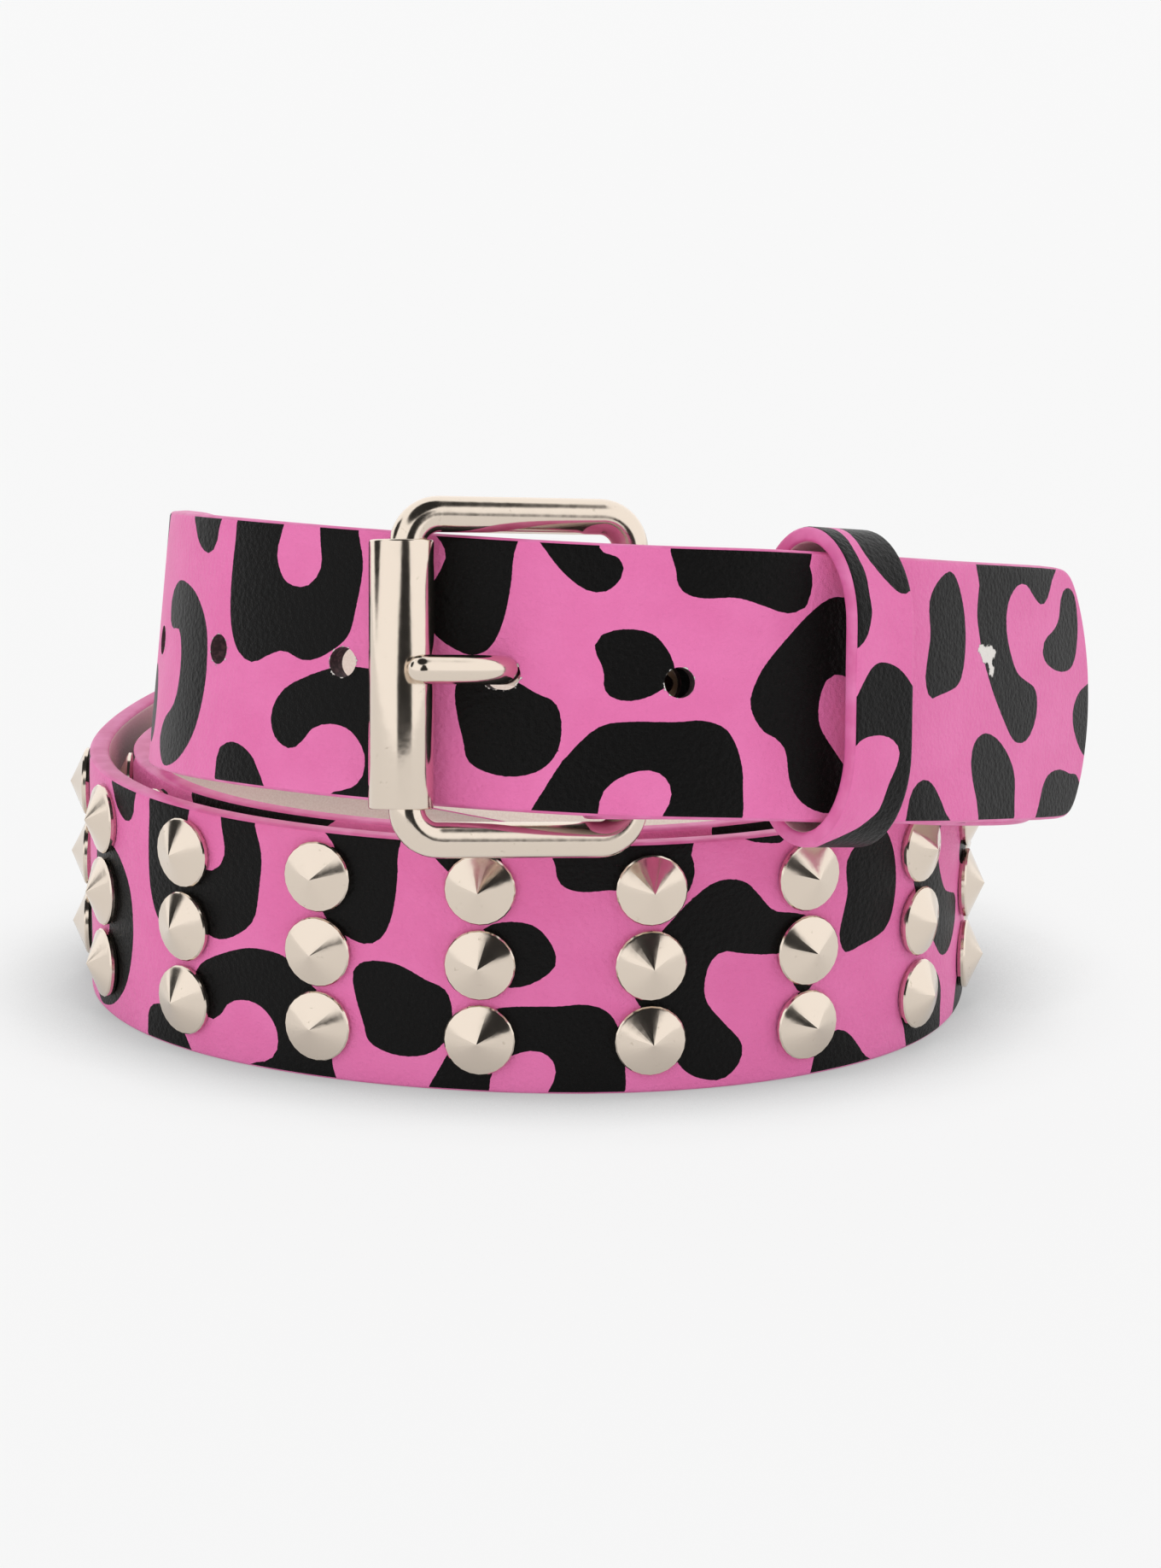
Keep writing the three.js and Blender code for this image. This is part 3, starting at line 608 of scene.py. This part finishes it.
# The printed coat: pink ground, black blotches with crisp, slightly uneven borders
printed_leather, tree, shader = new_material("printed_leather")
band = add_node(tree, "ShaderNodeUVMap", {"uv_map": "band"}).outputs["UV"]
print_depth = add_node(tree, "ShaderNodeAttribute", {"attribute_name": "print"}).outputs["Fac"]
chip_depth = add_node(tree, "ShaderNodeAttribute", {"attribute_name": "chip"}).outputs["Fac"]
ragged = maths(tree, "MULTIPLY_ADD", noise(tree, band, 170, 3), 0.16, -0.08)
inked = ramp(tree, maths(tree, "ADD", print_depth, ragged), -0.03, 0.03)
torn = maths(tree, "MULTIPLY_ADD", noise(tree, band, 130, 4, 0.6), 1.8, -0.9)
chipped = ramp(tree, maths(tree, "ADD", chip_depth, torn), 0, 0.12)
pink = blend(tree, ramp(tree, noise(tree, band, 9, 3), 0.35, 0.65), PINK, PINK_SHADE)
black = blend(tree, ramp(tree, noise(tree, band, 320, 2), 0.55, 0.8), BLACK, BLACK_WORN)
colour = blend(tree, inked, pink, black)
tree.links.new(blend(tree, chipped, colour, BARE), shader.inputs["Base Color"])
pebble = add_node(tree, "ShaderNodeTexVoronoi", {"feature": "SMOOTH_F1"}, Vector=band, Scale=135,
                  Smoothness=0.6).outputs["Distance"]
fine = noise(tree, band, 420, 2)
relief = maths(tree, "MULTIPLY_ADD", pebble, 0.7, maths(tree, "MULTIPLY", fine, 0.6))
relief = maths(tree, "SUBTRACT", relief, maths(tree, "MULTIPLY", chipped, 1.5))
grain = add_node(tree, "ShaderNodeBump", Strength=1, Distance=0.0002, Height=relief)
tree.links.new(grain.outputs["Normal"], shader.inputs["Normal"])
sheen = maths(tree, "MULTIPLY_ADD", fine, 0.14, maths(tree, "MULTIPLY_ADD", inked, -0.03, 0.35))
tree.links.new(maths(tree, "MULTIPLY_ADD", chipped, 0.3, sheen), shader.inputs["Roughness"])
shader.inputs["IOR"].default_value = 1.48
shader.inputs["Specular IOR Level"].default_value = 0.12

EDGE_PINK = (0.66, 0.12, 0.33, 1)
EDGE_PALE = (0.74, 0.18, 0.42, 1)
# The painted edge: thick, a little uneven and duller than the coat
painted_edge, tree, shader = new_material("painted_edge")
place = add_node(tree, "ShaderNodeTexCoord").outputs["Object"]
unevenness = noise(tree, place, 260, 3)
tree.links.new(blend(tree, ramp(tree, unevenness, 0.35, 0.7), EDGE_PINK, EDGE_PALE),
               shader.inputs["Base Color"])
grain = add_node(tree, "ShaderNodeBump", Strength=0.6, Distance=0.00012,
                 Height=noise(tree, place, 900, 3))
tree.links.new(grain.outputs["Normal"], shader.inputs["Normal"])
shader.inputs["Roughness"].default_value = 0.46

LINING_PALE = (0.93, 0.84, 0.77, 1)
LINING_DARK = (0.86, 0.75, 0.68, 1)
# The lining: a beige split-leather look with a short nap
lining, tree, shader = new_material("lining")
band = add_node(tree, "ShaderNodeUVMap", {"uv_map": "band"}).outputs["UV"]
fibres = noise(tree, band, 260, 4, 0.65)
tree.links.new(blend(tree, ramp(tree, fibres, 0.35, 0.65), LINING_PALE, LINING_DARK),
               shader.inputs["Base Color"])
grain = add_node(tree, "ShaderNodeBump", Strength=0.7, Distance=0.00012, Height=fibres)
tree.links.new(grain.outputs["Normal"], shader.inputs["Normal"])
shader.inputs["Roughness"].default_value = 0.75

CORE_PAINTED_SHADE = (0.045, 0.022, 0.026, 1)
CORE_FIBRE_IN_SHADE = (0.11, 0.055, 0.062, 1)
# The cut core, seen inside the holes: felted board with fibres, coloured near-black as painted shade
# inside the holes
core_painted_shade, tree, shader = new_material("core_painted_shade")
place = add_node(tree, "ShaderNodeTexCoord").outputs["Object"]
fibres = noise(tree, place, 1600, 3)
tree.links.new(blend(tree, ramp(tree, fibres, 0.45, 0.7), CORE_PAINTED_SHADE, CORE_FIBRE_IN_SHADE),
               shader.inputs["Base Color"])
grain = add_node(tree, "ShaderNodeBump", Strength=0.8, Distance=0.00015, Height=fibres)
tree.links.new(grain.outputs["Normal"], shader.inputs["Normal"])
shader.inputs["Roughness"].default_value = 0.85

for material in (printed_leather, painted_edge, lining, core_painted_shade):
    strap_mesh.materials.append(material)
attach(strap, "root")
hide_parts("strap")

# The studs
# Three rows of pressed nickel cones with a turned-down rim. Each is clinched through the
# strap by hidden legs, so the rim bears on the leather.
STUD_PITCH = 25
STUD_ROW_PITCH = 11.38
STUD_LIFT = 0.65
FIRST_STUD = 91.8
STUD_COLUMNS = 39
STUD_STEPS = 24
# radius and height: tip, cone, shoulder and rim
STUD_PROFILE = [(0, 3.5), (0.14, 3.44), (4.8, 1.25), (5.12, 1.14), (5.3, 0.9), (5.3, 0.45),
                (5.12, 0.16), (5.05, -0.05)]
STUD_TILT = 1.2


def turned(profile, steps):
    """A body of revolution about Z from a profile of radii and heights, in mm."""
    body = bmesh.new()
    verts = [body.verts.new((radius, 0, height)) for radius, height in profile]
    edges = [body.edges.new(pair) for pair in zip(verts, verts[1:])]
    bmesh.ops.spin(body, geom=verts + edges, cent=(0, 0, 0), axis=(0, 0, 1), angle=math.tau,
                   steps=steps, use_merge=True)
    bmesh.ops.remove_doubles(body, verts=body.verts, dist=0.001)
    bmesh.ops.recalc_face_normals(body, faces=body.faces)
    return body


def crisp(body, angle):
    """Smooth faces, with corners above an angle kept sharp."""
    for face in body.faces:
        face.smooth = True
    for edge in body.edges:
        if len(edge.link_faces) == 2 and edge.calc_face_angle() > math.radians(angle):
            edge.smooth = False


def directions(x, y, z, point):
    """The matrix that puts local axes, in mm, on three directions at a point, in metres."""
    columns = Matrix((Vector(x), Vector(y), Vector(z))).transposed().to_4x4()
    return Matrix.Translation(Vector(point) * MM) @ columns @ Matrix.Scale(MM, 4)


def finish_mesh(body, name, materials):
    mesh = bpy.data.meshes.new(name)
    body.to_mesh(mesh)
    body.free()
    for material in materials:
        mesh.materials.append(material)
    piece = bpy.data.objects.new(name, mesh)
    bpy.context.collection.objects.link(piece)
    return piece


NICKEL = (0.72, 0.625, 0.53, 1)
NICKEL_DULL = (0.61, 0.525, 0.435, 1)
# Polished nickel plate, with faint waviness and a few dull specks
nickel, tree, shader = new_material("nickel_plate")
place = add_node(tree, "ShaderNodeTexCoord").outputs["Object"]
specks = ramp(tree, noise(tree, place, 900, 3, 0.6), 0.66, 0.74)
tree.links.new(blend(tree, specks, NICKEL, NICKEL_DULL), shader.inputs["Base Color"])
tree.links.new(maths(tree, "MULTIPLY_ADD", noise(tree, place, 500, 3), 0.12, 0.08),
               shader.inputs["Roughness"])
ripple = add_node(tree, "ShaderNodeBump", Strength=0.25, Distance=0.00008,
                  Height=noise(tree, place, 420, 2))
tree.links.new(ripple.outputs["Normal"], shader.inputs["Normal"])
shader.inputs["Metallic"].default_value = 1

cone = turned(STUD_PROFILE, STUD_STEPS)
crisp(cone, 22)
cone_mesh = bpy.data.meshes.new("cone")
cone.to_mesh(cone_mesh)
cone.free()
hand = random.Random(5)
body = bmesh.new()
for column in range(STUD_COLUMNS):
    point, along, up, out = station(FIRST_STUD + column * STUD_PITCH)
    for row in (-1, 0, 1):
        before = len(body.verts)
        body.from_mesh(cone_mesh)
        body.verts.ensure_lookup_table()
        seat = directions(along, up, out, point + up * (STUD_LIFT + row * STUD_ROW_PITCH))
        tilt = Matrix.Rotation(math.radians(hand.uniform(-STUD_TILT, STUD_TILT)), 4, "X")
        tilt = tilt @ Matrix.Rotation(math.radians(hand.uniform(-STUD_TILT, STUD_TILT)), 4, "Y")
        bmesh.ops.transform(body, matrix=seat @ tilt, verts=body.verts[before:])
studs = finish_mesh(body, "cone_studs", [nickel])
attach(studs, "root")
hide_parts("strap")

# The buckle's frame
# One nickel-plated steel wire bent to a rounded rectangle and welded shut. The strap is
# folded round one long side, and the other carries the roller.
WIRE_SIDES = 28
FRAME_HEIGHT = 50.5
FRAME_LIFT = 0.8
BAR_SPACING = 33
FRAME_CORNER = 4.6
CORNER_STEPS = 10
ARM_YAW = math.radians(16.5)

heel_point, heel_along, heel_up, heel_out = station(0)
heel_bar = heel_point - heel_out * HEEL_REACH
left = -heel_along
to_roller = left * math.cos(ARM_YAW) + heel_out * math.sin(ARM_YAW)
frame_normal = np.cross(to_roller, heel_up)
frame_middle = heel_bar + heel_up * FRAME_LIFT


def drawn_out(body, ring, vec):
    """Extrudes a ring of edges straight on and returns the new ring."""
    made = bmesh.ops.extrude_edge_only(body, edges=ring)["geom"]
    verts = [part for part in made if isinstance(part, bmesh.types.BMVert)]
    bmesh.ops.translate(body, verts=verts, vec=vec)
    return [part for part in made if isinstance(part, bmesh.types.BMEdge)
            and all(vert in verts for vert in part.verts)]


def bent(body, ring, centre):
    """Bends a ring of edges a quarter turn on and returns the new ring."""
    verts = list({vert for edge in ring for vert in edge.verts})
    made = bmesh.ops.spin(body, geom=verts + ring, cent=centre, axis=(0, 0, -1),
                          angle=math.pi / 2, steps=CORNER_STEPS)["geom_last"]
    return [part for part in made if isinstance(part, bmesh.types.BMEdge)]


half_height = FRAME_HEIGHT / 2 - WIRE_RADIUS
straight = half_height - FRAME_CORNER
arm = BAR_SPACING - 2 * FRAME_CORNER
body = bmesh.new()
bmesh.ops.create_circle(body, segments=WIRE_SIDES, radius=WIRE_RADIUS)
bmesh.ops.rotate(body, verts=body.verts, cent=(0, 0, 0), matrix=Matrix.Rotation(math.pi / 2, 3, "X"))
ring = list(body.edges)
ring = drawn_out(body, ring, (0, straight, 0))
ring = bent(body, ring, (FRAME_CORNER, straight, 0))
ring = drawn_out(body, ring, (arm, 0, 0))
ring = bent(body, ring, (BAR_SPACING - FRAME_CORNER, straight, 0))
ring = drawn_out(body, ring, (0, -2 * straight, 0))
ring = bent(body, ring, (BAR_SPACING - FRAME_CORNER, -straight, 0))
ring = drawn_out(body, ring, (-arm, 0, 0))
ring = bent(body, ring, (FRAME_CORNER, -straight, 0))
drawn_out(body, ring, (0, straight, 0))
bmesh.ops.remove_doubles(body, verts=body.verts, dist=0.01)
bmesh.ops.recalc_face_normals(body, faces=body.faces)
crisp(body, 40)
placing = directions(to_roller, heel_up, frame_normal, frame_middle)
bmesh.ops.transform(body, verts=body.verts, matrix=placing)
buckle = finish_mesh(body, "buckle_wire", [nickel])
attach(buckle, "root")
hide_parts("buckle_frame")

# The roller
# A loose tube of nickel-plated sheet round the frame's front bar, with its ends turned
# in, so that the strap runs over it without rubbing.
ROLLER_RADIUS = 4.55
ROLLER_WALL = 0.7
ROLLER_LENGTH = 37.4
ROLLER_LIP = 0.3
ROLLER_STEPS = 48
ROLLER_SHIFT = (0.8, 0.3, 0.3)  # left, forward and up of the bar

inner = ROLLER_RADIUS - ROLLER_WALL
end = ROLLER_LENGTH / 2
bevel = ROLLER_LIP * 0.3
roller_end = [(inner, end - ROLLER_LIP), (inner + ROLLER_LIP / 2, end),
              (ROLLER_RADIUS - ROLLER_LIP, end), (ROLLER_RADIUS - bevel, end - bevel),
              (ROLLER_RADIUS, end - ROLLER_LIP)]
profile = roller_end + [(radius, -height) for radius, height in reversed(roller_end)]
body = turned(profile + profile[:1], ROLLER_STEPS)
crisp(body, 50)
roller_middle = frame_middle + to_roller * BAR_SPACING
for direction, shift in zip((left, heel_out, heel_up), ROLLER_SHIFT):
    roller_middle = roller_middle + direction * shift
placing = directions(left, -heel_out, heel_up, roller_middle)
bmesh.ops.transform(body, verts=body.verts, matrix=placing)
roller = finish_mesh(body, "roller_tube", [nickel])
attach(roller, "root")
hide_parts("roller")

# The prong
# A round wire curled into an eye on the frame's back bar. It passes through the fold's
# slot and the second hole, and its blunt end rests on the roller.
PRONG_RADIUS = 2.05
PRONG_PLAY = 0.3
PRONG_SIDES = 20
PRONG_STEPS = 44
EYE_STEPS = 32
END_STEPS = 6
# left, forward and up of the back bar
PRONG_ROUTE = [
    (2.8, 3.4, 0.1), (9.0, 1.5, 1), (13.8, 1.8, 1.6), (16.9, 4.4, 1.75),
    (17.9, 8, 1.75), (19.2, 11.1, 1.75), (21.6, 13.1, 1.75), (25.4, 14.8, 1.75), (29.7, 16.6, 1.75),
]

prong_route = np.array(PRONG_ROUTE)
prong_steps = np.linalg.norm(np.diff(prong_route, axis=0), axis=1)
prong_places = np.concatenate([[0], np.cumsum(prong_steps)])
places = np.linspace(0, prong_places[-1], PRONG_STEPS + 1)
wire_line = np.stack([curve_through(prong_places, prong_route[:, k])(places) for k in range(3)], 1)
wire_along = unit(np.gradient(wire_line, axis=0))
# the blunt end: rings past the last point, each smaller
shrink = [1] * (PRONG_STEPS + 1)
for k in range(1, END_STEPS):
    turn = k / END_STEPS * math.pi / 2
    past = wire_along[-1] * PRONG_RADIUS * math.sin(turn)
    wire_line = np.vstack([wire_line, wire_line[PRONG_STEPS] + past])
    shrink.append(math.cos(turn))
wire_along = np.vstack([wire_along, np.repeat(wire_along[-1:], END_STEPS - 1, axis=0)])
body = bmesh.new()
bmesh.ops.create_circle(body, segments=PRONG_SIDES, radius=PRONG_RADIUS, cap_ends=False)
ring = list(body.edges)
ring_matrix = Matrix.Identity(4)
for k, (point, along, size) in enumerate(zip(wire_line, wire_along, shrink)):
    side = unit(np.cross(along, (0, 0, 1)))
    over = np.cross(side, along)
    wanted = Matrix.Translation(point) @ Matrix((side, over, along)).transposed().to_4x4()
    wanted = wanted @ Matrix.Scale(size, 4)
    if k:
        ring = drawn_out(body, ring, (0, 0, 0))
    verts = list({vert for edge in ring for vert in edge.verts})
    bmesh.ops.transform(body, verts=verts, matrix=wanted @ ring_matrix.inverted())
    ring_matrix = wanted
bmesh.ops.holes_fill(body, edges=[edge for edge in body.edges if edge.is_boundary], sides=0)
bmesh.ops.recalc_face_normals(body, faces=body.faces)
eye = bmesh.ops.create_circle(body, segments=PRONG_SIDES, radius=PRONG_RADIUS)["verts"]
eye_edges = list({edge for vert in eye for edge in vert.link_edges})
bmesh.ops.rotate(body, verts=eye, cent=(0, 0, 0), matrix=Matrix.Rotation(math.pi / 2, 3, "X"))
bmesh.ops.translate(body, verts=eye, vec=(WIRE_RADIUS + PRONG_PLAY + PRONG_RADIUS, 0, 0))
bmesh.ops.spin(body, geom=eye + eye_edges, cent=(0, 0, 0), axis=(0, 0, 1), angle=math.tau,
               steps=EYE_STEPS, use_merge=True)
bmesh.ops.recalc_face_normals(body, faces=body.faces)
crisp(body, 40)
bmesh.ops.transform(body, verts=body.verts, matrix=directions(left, heel_out, heel_up, heel_bar))
bmesh.ops.recalc_face_normals(body, faces=body.faces)
prong = finish_mesh(body, "prong_wire", [nickel])
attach(prong, "root")
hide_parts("prong")

# The keeper
# A narrow loop of the same printed leather with painted edges. It is joined at the back
# and holds the free end against the strap beside the buckle.
KEEPER_FROM_HEEL = 30.5
KEEPER_WIDTH = 13
KEEPER_WALL = 2.2
KEEPER_DEPTH = 19
KEEPER_HEIGHT = 45.2
KEEPER_BEND = (9.5, 14)  # how far each bend reaches from the front and from the top
KEEPER_FORWARD = 0.7
KEEPER_YAW = math.radians(8)
KEEPER_ROUND = 0.6
KEEPER_ROWS = 12
KEEPER_COLUMNS = 120
CORNER_TURNS = 13
# Black outlines, in millimetres up from the middle of the front and in from the edge
# nearer the buckle
KEEPER_BLOTCHES = [
    [(27, -2), (27, 3.5), (23, 3.6), (19.6, 3.2), (16.2, 3.5), (13, 3.3), (11, 3.5), (9.3, 3.2),
     (6.9, 2.2), (5.2, 0), (5, -2)],
    [(28, 6.5), (24, 5.6), (19.6, 5.1), (17.2, 6.1), (15.5, 7.4), (13.7, 9.6), (13.4, 11.3),
     (13.9, 12.6), (14.5, 15), (30, 15), (30, 9)],
    [(-1.8, -2), (-1.6, 0), (-0.5, 0.9), (0.9, 1.9), (2.9, 3.7), (3.6, 5.8), (3.1, 8.7), (2, 10.8),
     (0.1, 13), (-0.5, 15), (-29, 15), (-29, 5), (-26.5, 2.5), (-24.2, 1.8), (-21.8, 4),
     (-20.6, 5.5), (-18.8, 7), (-17.6, 7.9), (-15.7, 8.1), (-13.4, 8.4), (-10.6, 9.6),
     (-8.6, 9.8), (-7.3, 8.4), (-6.7, 6.1), (-6.9, 3.2), (-7.5, 1.3), (-8.4, 0), (-8.8, -2)],
    [(36, -2), (35, 1), (38, 4), (43, 5.5), (47, 3.5), (48, -2)],
    [(40, 9), (44, 10), (47, 12), (46, 15), (38, 15), (37, 12)],
    [(52, 6), (55, 3), (59, 4), (60, 8), (57, 10.5), (53, 9.5)],
    [(-36, 9), (-39, 6), (-43, 6), (-46, 9.5), (-45, 15), (-36, 15)],
    [(-48, -2), (-47, 2), (-51, 4.5), (-55, 2), (-56, -2)],
]

corner_x = KEEPER_DEPTH / 2 - KEEPER_BEND[0]
corner_y = KEEPER_HEIGHT / 2 - KEEPER_BEND[1]
loop = [(KEEPER_DEPTH / 2, 0)]
facing = [0]
corners = ((corner_x, corner_y), (-corner_x, corner_y), (-corner_x, -corner_y), (corner_x, -corner_y))
for quarter, (x, y) in enumerate(corners):
    for turn in (quarter + np.linspace(0, 1, CORNER_TURNS)) * math.pi / 2:
        loop.append((x + KEEPER_BEND[0] * math.cos(turn), y + KEEPER_BEND[1] * math.sin(turn)))
        facing.append(math.atan2(math.sin(turn) / KEEPER_BEND[1], math.cos(turn) / KEEPER_BEND[0]))
loop.append(loop[0])
facing = np.unwrap(facing + [0])
loop = np.array(loop)
loop_places = np.concatenate([[0], np.cumsum(np.linalg.norm(np.diff(loop, axis=0), axis=1))])

keeper_section = band_section(KEEPER_WIDTH / 2, KEEPER_WALL, KEEPER_ROUND, KEEPER_ROWS)
body = rolled_band(KEEPER_COLUMNS, keeper_section)
keeper_mesh = bpy.data.meshes.new("keeper_leather")
body.to_mesh(keeper_mesh)
body.free()
grid = points_of(keeper_mesh)
place = keeper_section[np.rint(grid[:, 1]).astype(int)]
flat = np.stack([(grid[:, 0] / KEEPER_COLUMNS - 0.5) * loop_places[-1], place[:, 0], place[:, 1]], 1)
set_points(keeper_mesh, flat)
body = bmesh.new()
body.from_mesh(keeper_mesh)
bmesh.ops.remove_doubles(body, verts=body.verts, dist=0.001)
bmesh.ops.recalc_face_normals(body, faces=body.faces)
if max(body.faces, key=lambda face: face.calc_center_median().z).normal.z < 0:
    bmesh.ops.reverse_faces(body, faces=body.faces)
sort_faces(body, KEEPER_WALL)
body.to_mesh(keeper_mesh)
body.free()
flat = points_of(keeper_mesh)
outlines = [[(up, KEEPER_WIDTH / 2 - inwards) for up, inwards in outline] for outline in KEEPER_BLOTCHES]
add_attribute(keeper_mesh, "print", inside_outlines(flat[:, 0], flat[:, 1], outlines))
add_attribute(keeper_mesh, "chip", np.full(len(flat), -float(PRINT_FAR)))
add_map(keeper_mesh, flat)

point, along, up, out = station(KEEPER_FROM_HEEL)
forward = out * math.cos(KEEPER_YAW) + along * math.sin(KEEPER_YAW)
sideways = np.cross(forward, up)
middle = point + out * KEEPER_FORWARD
round_loop = flat[:, 0] % loop_places[-1]
turn = np.interp(round_loop, loop_places, facing)
at_forward = np.interp(round_loop, loop_places, loop[:, 0]) + flat[:, 2] * np.cos(turn)
at_up = np.interp(round_loop, loop_places, loop[:, 1]) + flat[:, 2] * np.sin(turn)
placed = middle + at_forward[:, None] * forward + at_up[:, None] * up + flat[:, 1:2] * sideways
set_points(keeper_mesh, placed * MM)
body = bmesh.new()
body.from_mesh(keeper_mesh)
bmesh.ops.remove_doubles(body, verts=body.verts, dist=0.01 * MM)
keeper = finish_mesh(body, "keeper_loop", [printed_leather, painted_edge, lining, core_painted_shade])
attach(keeper, "root")
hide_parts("keeper")

# Floor, light and camera
# A pale floor that glows, its glow dimmed near the belt as a painted contact shadow, under an even
# studio sky with dark gaps in it, which the polished wire, cones and roller show, and two wide soft
# lamps, overhead and in front.
FLOOR_SIZE = 12
FLOOR_COLOUR = (0.03, 0.03, 0.03, 1)
FLOOR_GLOW = 0.885
PAINTED_SHADOW_REACH = 0.03
floor_material, tree, shader = new_material("pale_floor")
shader.inputs["Base Color"].default_value = FLOOR_COLOUR
shader.inputs["Emission Color"].default_value = (1, 1, 1, 1)
# Painted contact shadow: the floor's glow drops to half where ambient occlusion finds the belt close by
painted_shadow = add_node(tree, "ShaderNodeAmbientOcclusion", {"samples": 8}, Distance=PAINTED_SHADOW_REACH)
tree.links.new(ramp(tree, painted_shadow.outputs["AO"], 0.35, 0.97, FLOOR_GLOW * 0.5, FLOOR_GLOW),
               shader.inputs["Emission Strength"])
shader.inputs["Roughness"].default_value = 0.9
shader.inputs["Specular IOR Level"].default_value = 0.1
body = bmesh.new()
bmesh.ops.create_grid(body, x_segments=1, y_segments=1, size=FLOOR_SIZE / 2)
floor = finish_mesh(body, "floor", [floor_material])

SKY_LIGHT = 1.22
DARK_LIGHT = 0.03
# right of the camera and above the floor, and where a dark gap is full and where it ends
DARK_GAPS = [
    (14, 8, 22, 30),
    (18, 30, 12, 19),
    (0, 77, 27, 36),
    (-104, 22, 13, 20),
]
world = bpy.data.worlds.new("studio")
world.use_nodes = True
tree = world.node_tree
background = tree.nodes["Background"]
look = add_node(tree, "ShaderNodeTexCoord").outputs["Generated"]
bright = None
for side, height, full, ends in DARK_GAPS:
    side, height = math.radians(side), math.radians(height)
    direction = (math.sin(side) * math.cos(height), -math.cos(side) * math.cos(height), math.sin(height))
    facing_gap = add_node(tree, "ShaderNodeVectorMath", {"operation": "DOT_PRODUCT"})
    tree.links.new(look, facing_gap.inputs[0])
    facing_gap.inputs[1].default_value = direction
    low, high = math.cos(math.radians(ends)), math.cos(math.radians(full))
    clear = ramp(tree, facing_gap.outputs["Value"], low, high, 1, 0)
    bright = clear if bright is None else maths(tree, "MULTIPLY", bright, clear)
strength = maths(tree, "MULTIPLY_ADD", bright, SKY_LIGHT - DARK_LIGHT, DARK_LIGHT)
tree.links.new(strength, background.inputs["Strength"])
background.inputs["Color"].default_value = (1, 1, 1, 1)
bpy.context.scene.world = world

# name, width, depth, power in watts and place of each soft lamp, which no surface mirrors
SOFT_LAMPS = [
    ("overhead_softbox", 1.2, 0.9, 4, (0, -0.5, 1.2)),
    ("front_fill", 1, 0.5, 1.8, (-0.1, -1.1, 0.2)),
]
for name, width, depth, power, place in SOFT_LAMPS:
    lamp = bpy.data.lights.new(name, "AREA")
    lamp.shape = "RECTANGLE"
    lamp.size = width
    lamp.size_y = depth
    lamp.energy = power
    lamp_object = bpy.data.objects.new(name, lamp)
    lamp_object.location = place
    lamp_object.visible_glossy = False
    toward = Vector((0, 0, 0.05)) - lamp_object.location
    lamp_object.rotation_euler = toward.to_track_quat("-Z", "Y").to_euler()
    bpy.context.collection.objects.link(lamp_object)

camera_data = bpy.data.cameras.new("camera")
camera_data.sensor_fit = "VERTICAL"
camera_data.sensor_height = 36
camera_data.lens = 128.15
camera_data.clip_end = 50
camera = bpy.data.objects.new("camera", camera_data)
camera.location = (0.00129, -0.83388, 0.23335)
tilt = Matrix.Rotation(math.radians(76.70), 4, "X") @ Matrix.Rotation(math.radians(0.39), 4, "Z")
camera.rotation_euler = tilt.to_euler()
bpy.context.collection.objects.link(camera)
bpy.context.scene.camera = camera
bpy.context.scene.view_settings.view_transform = "Standard"
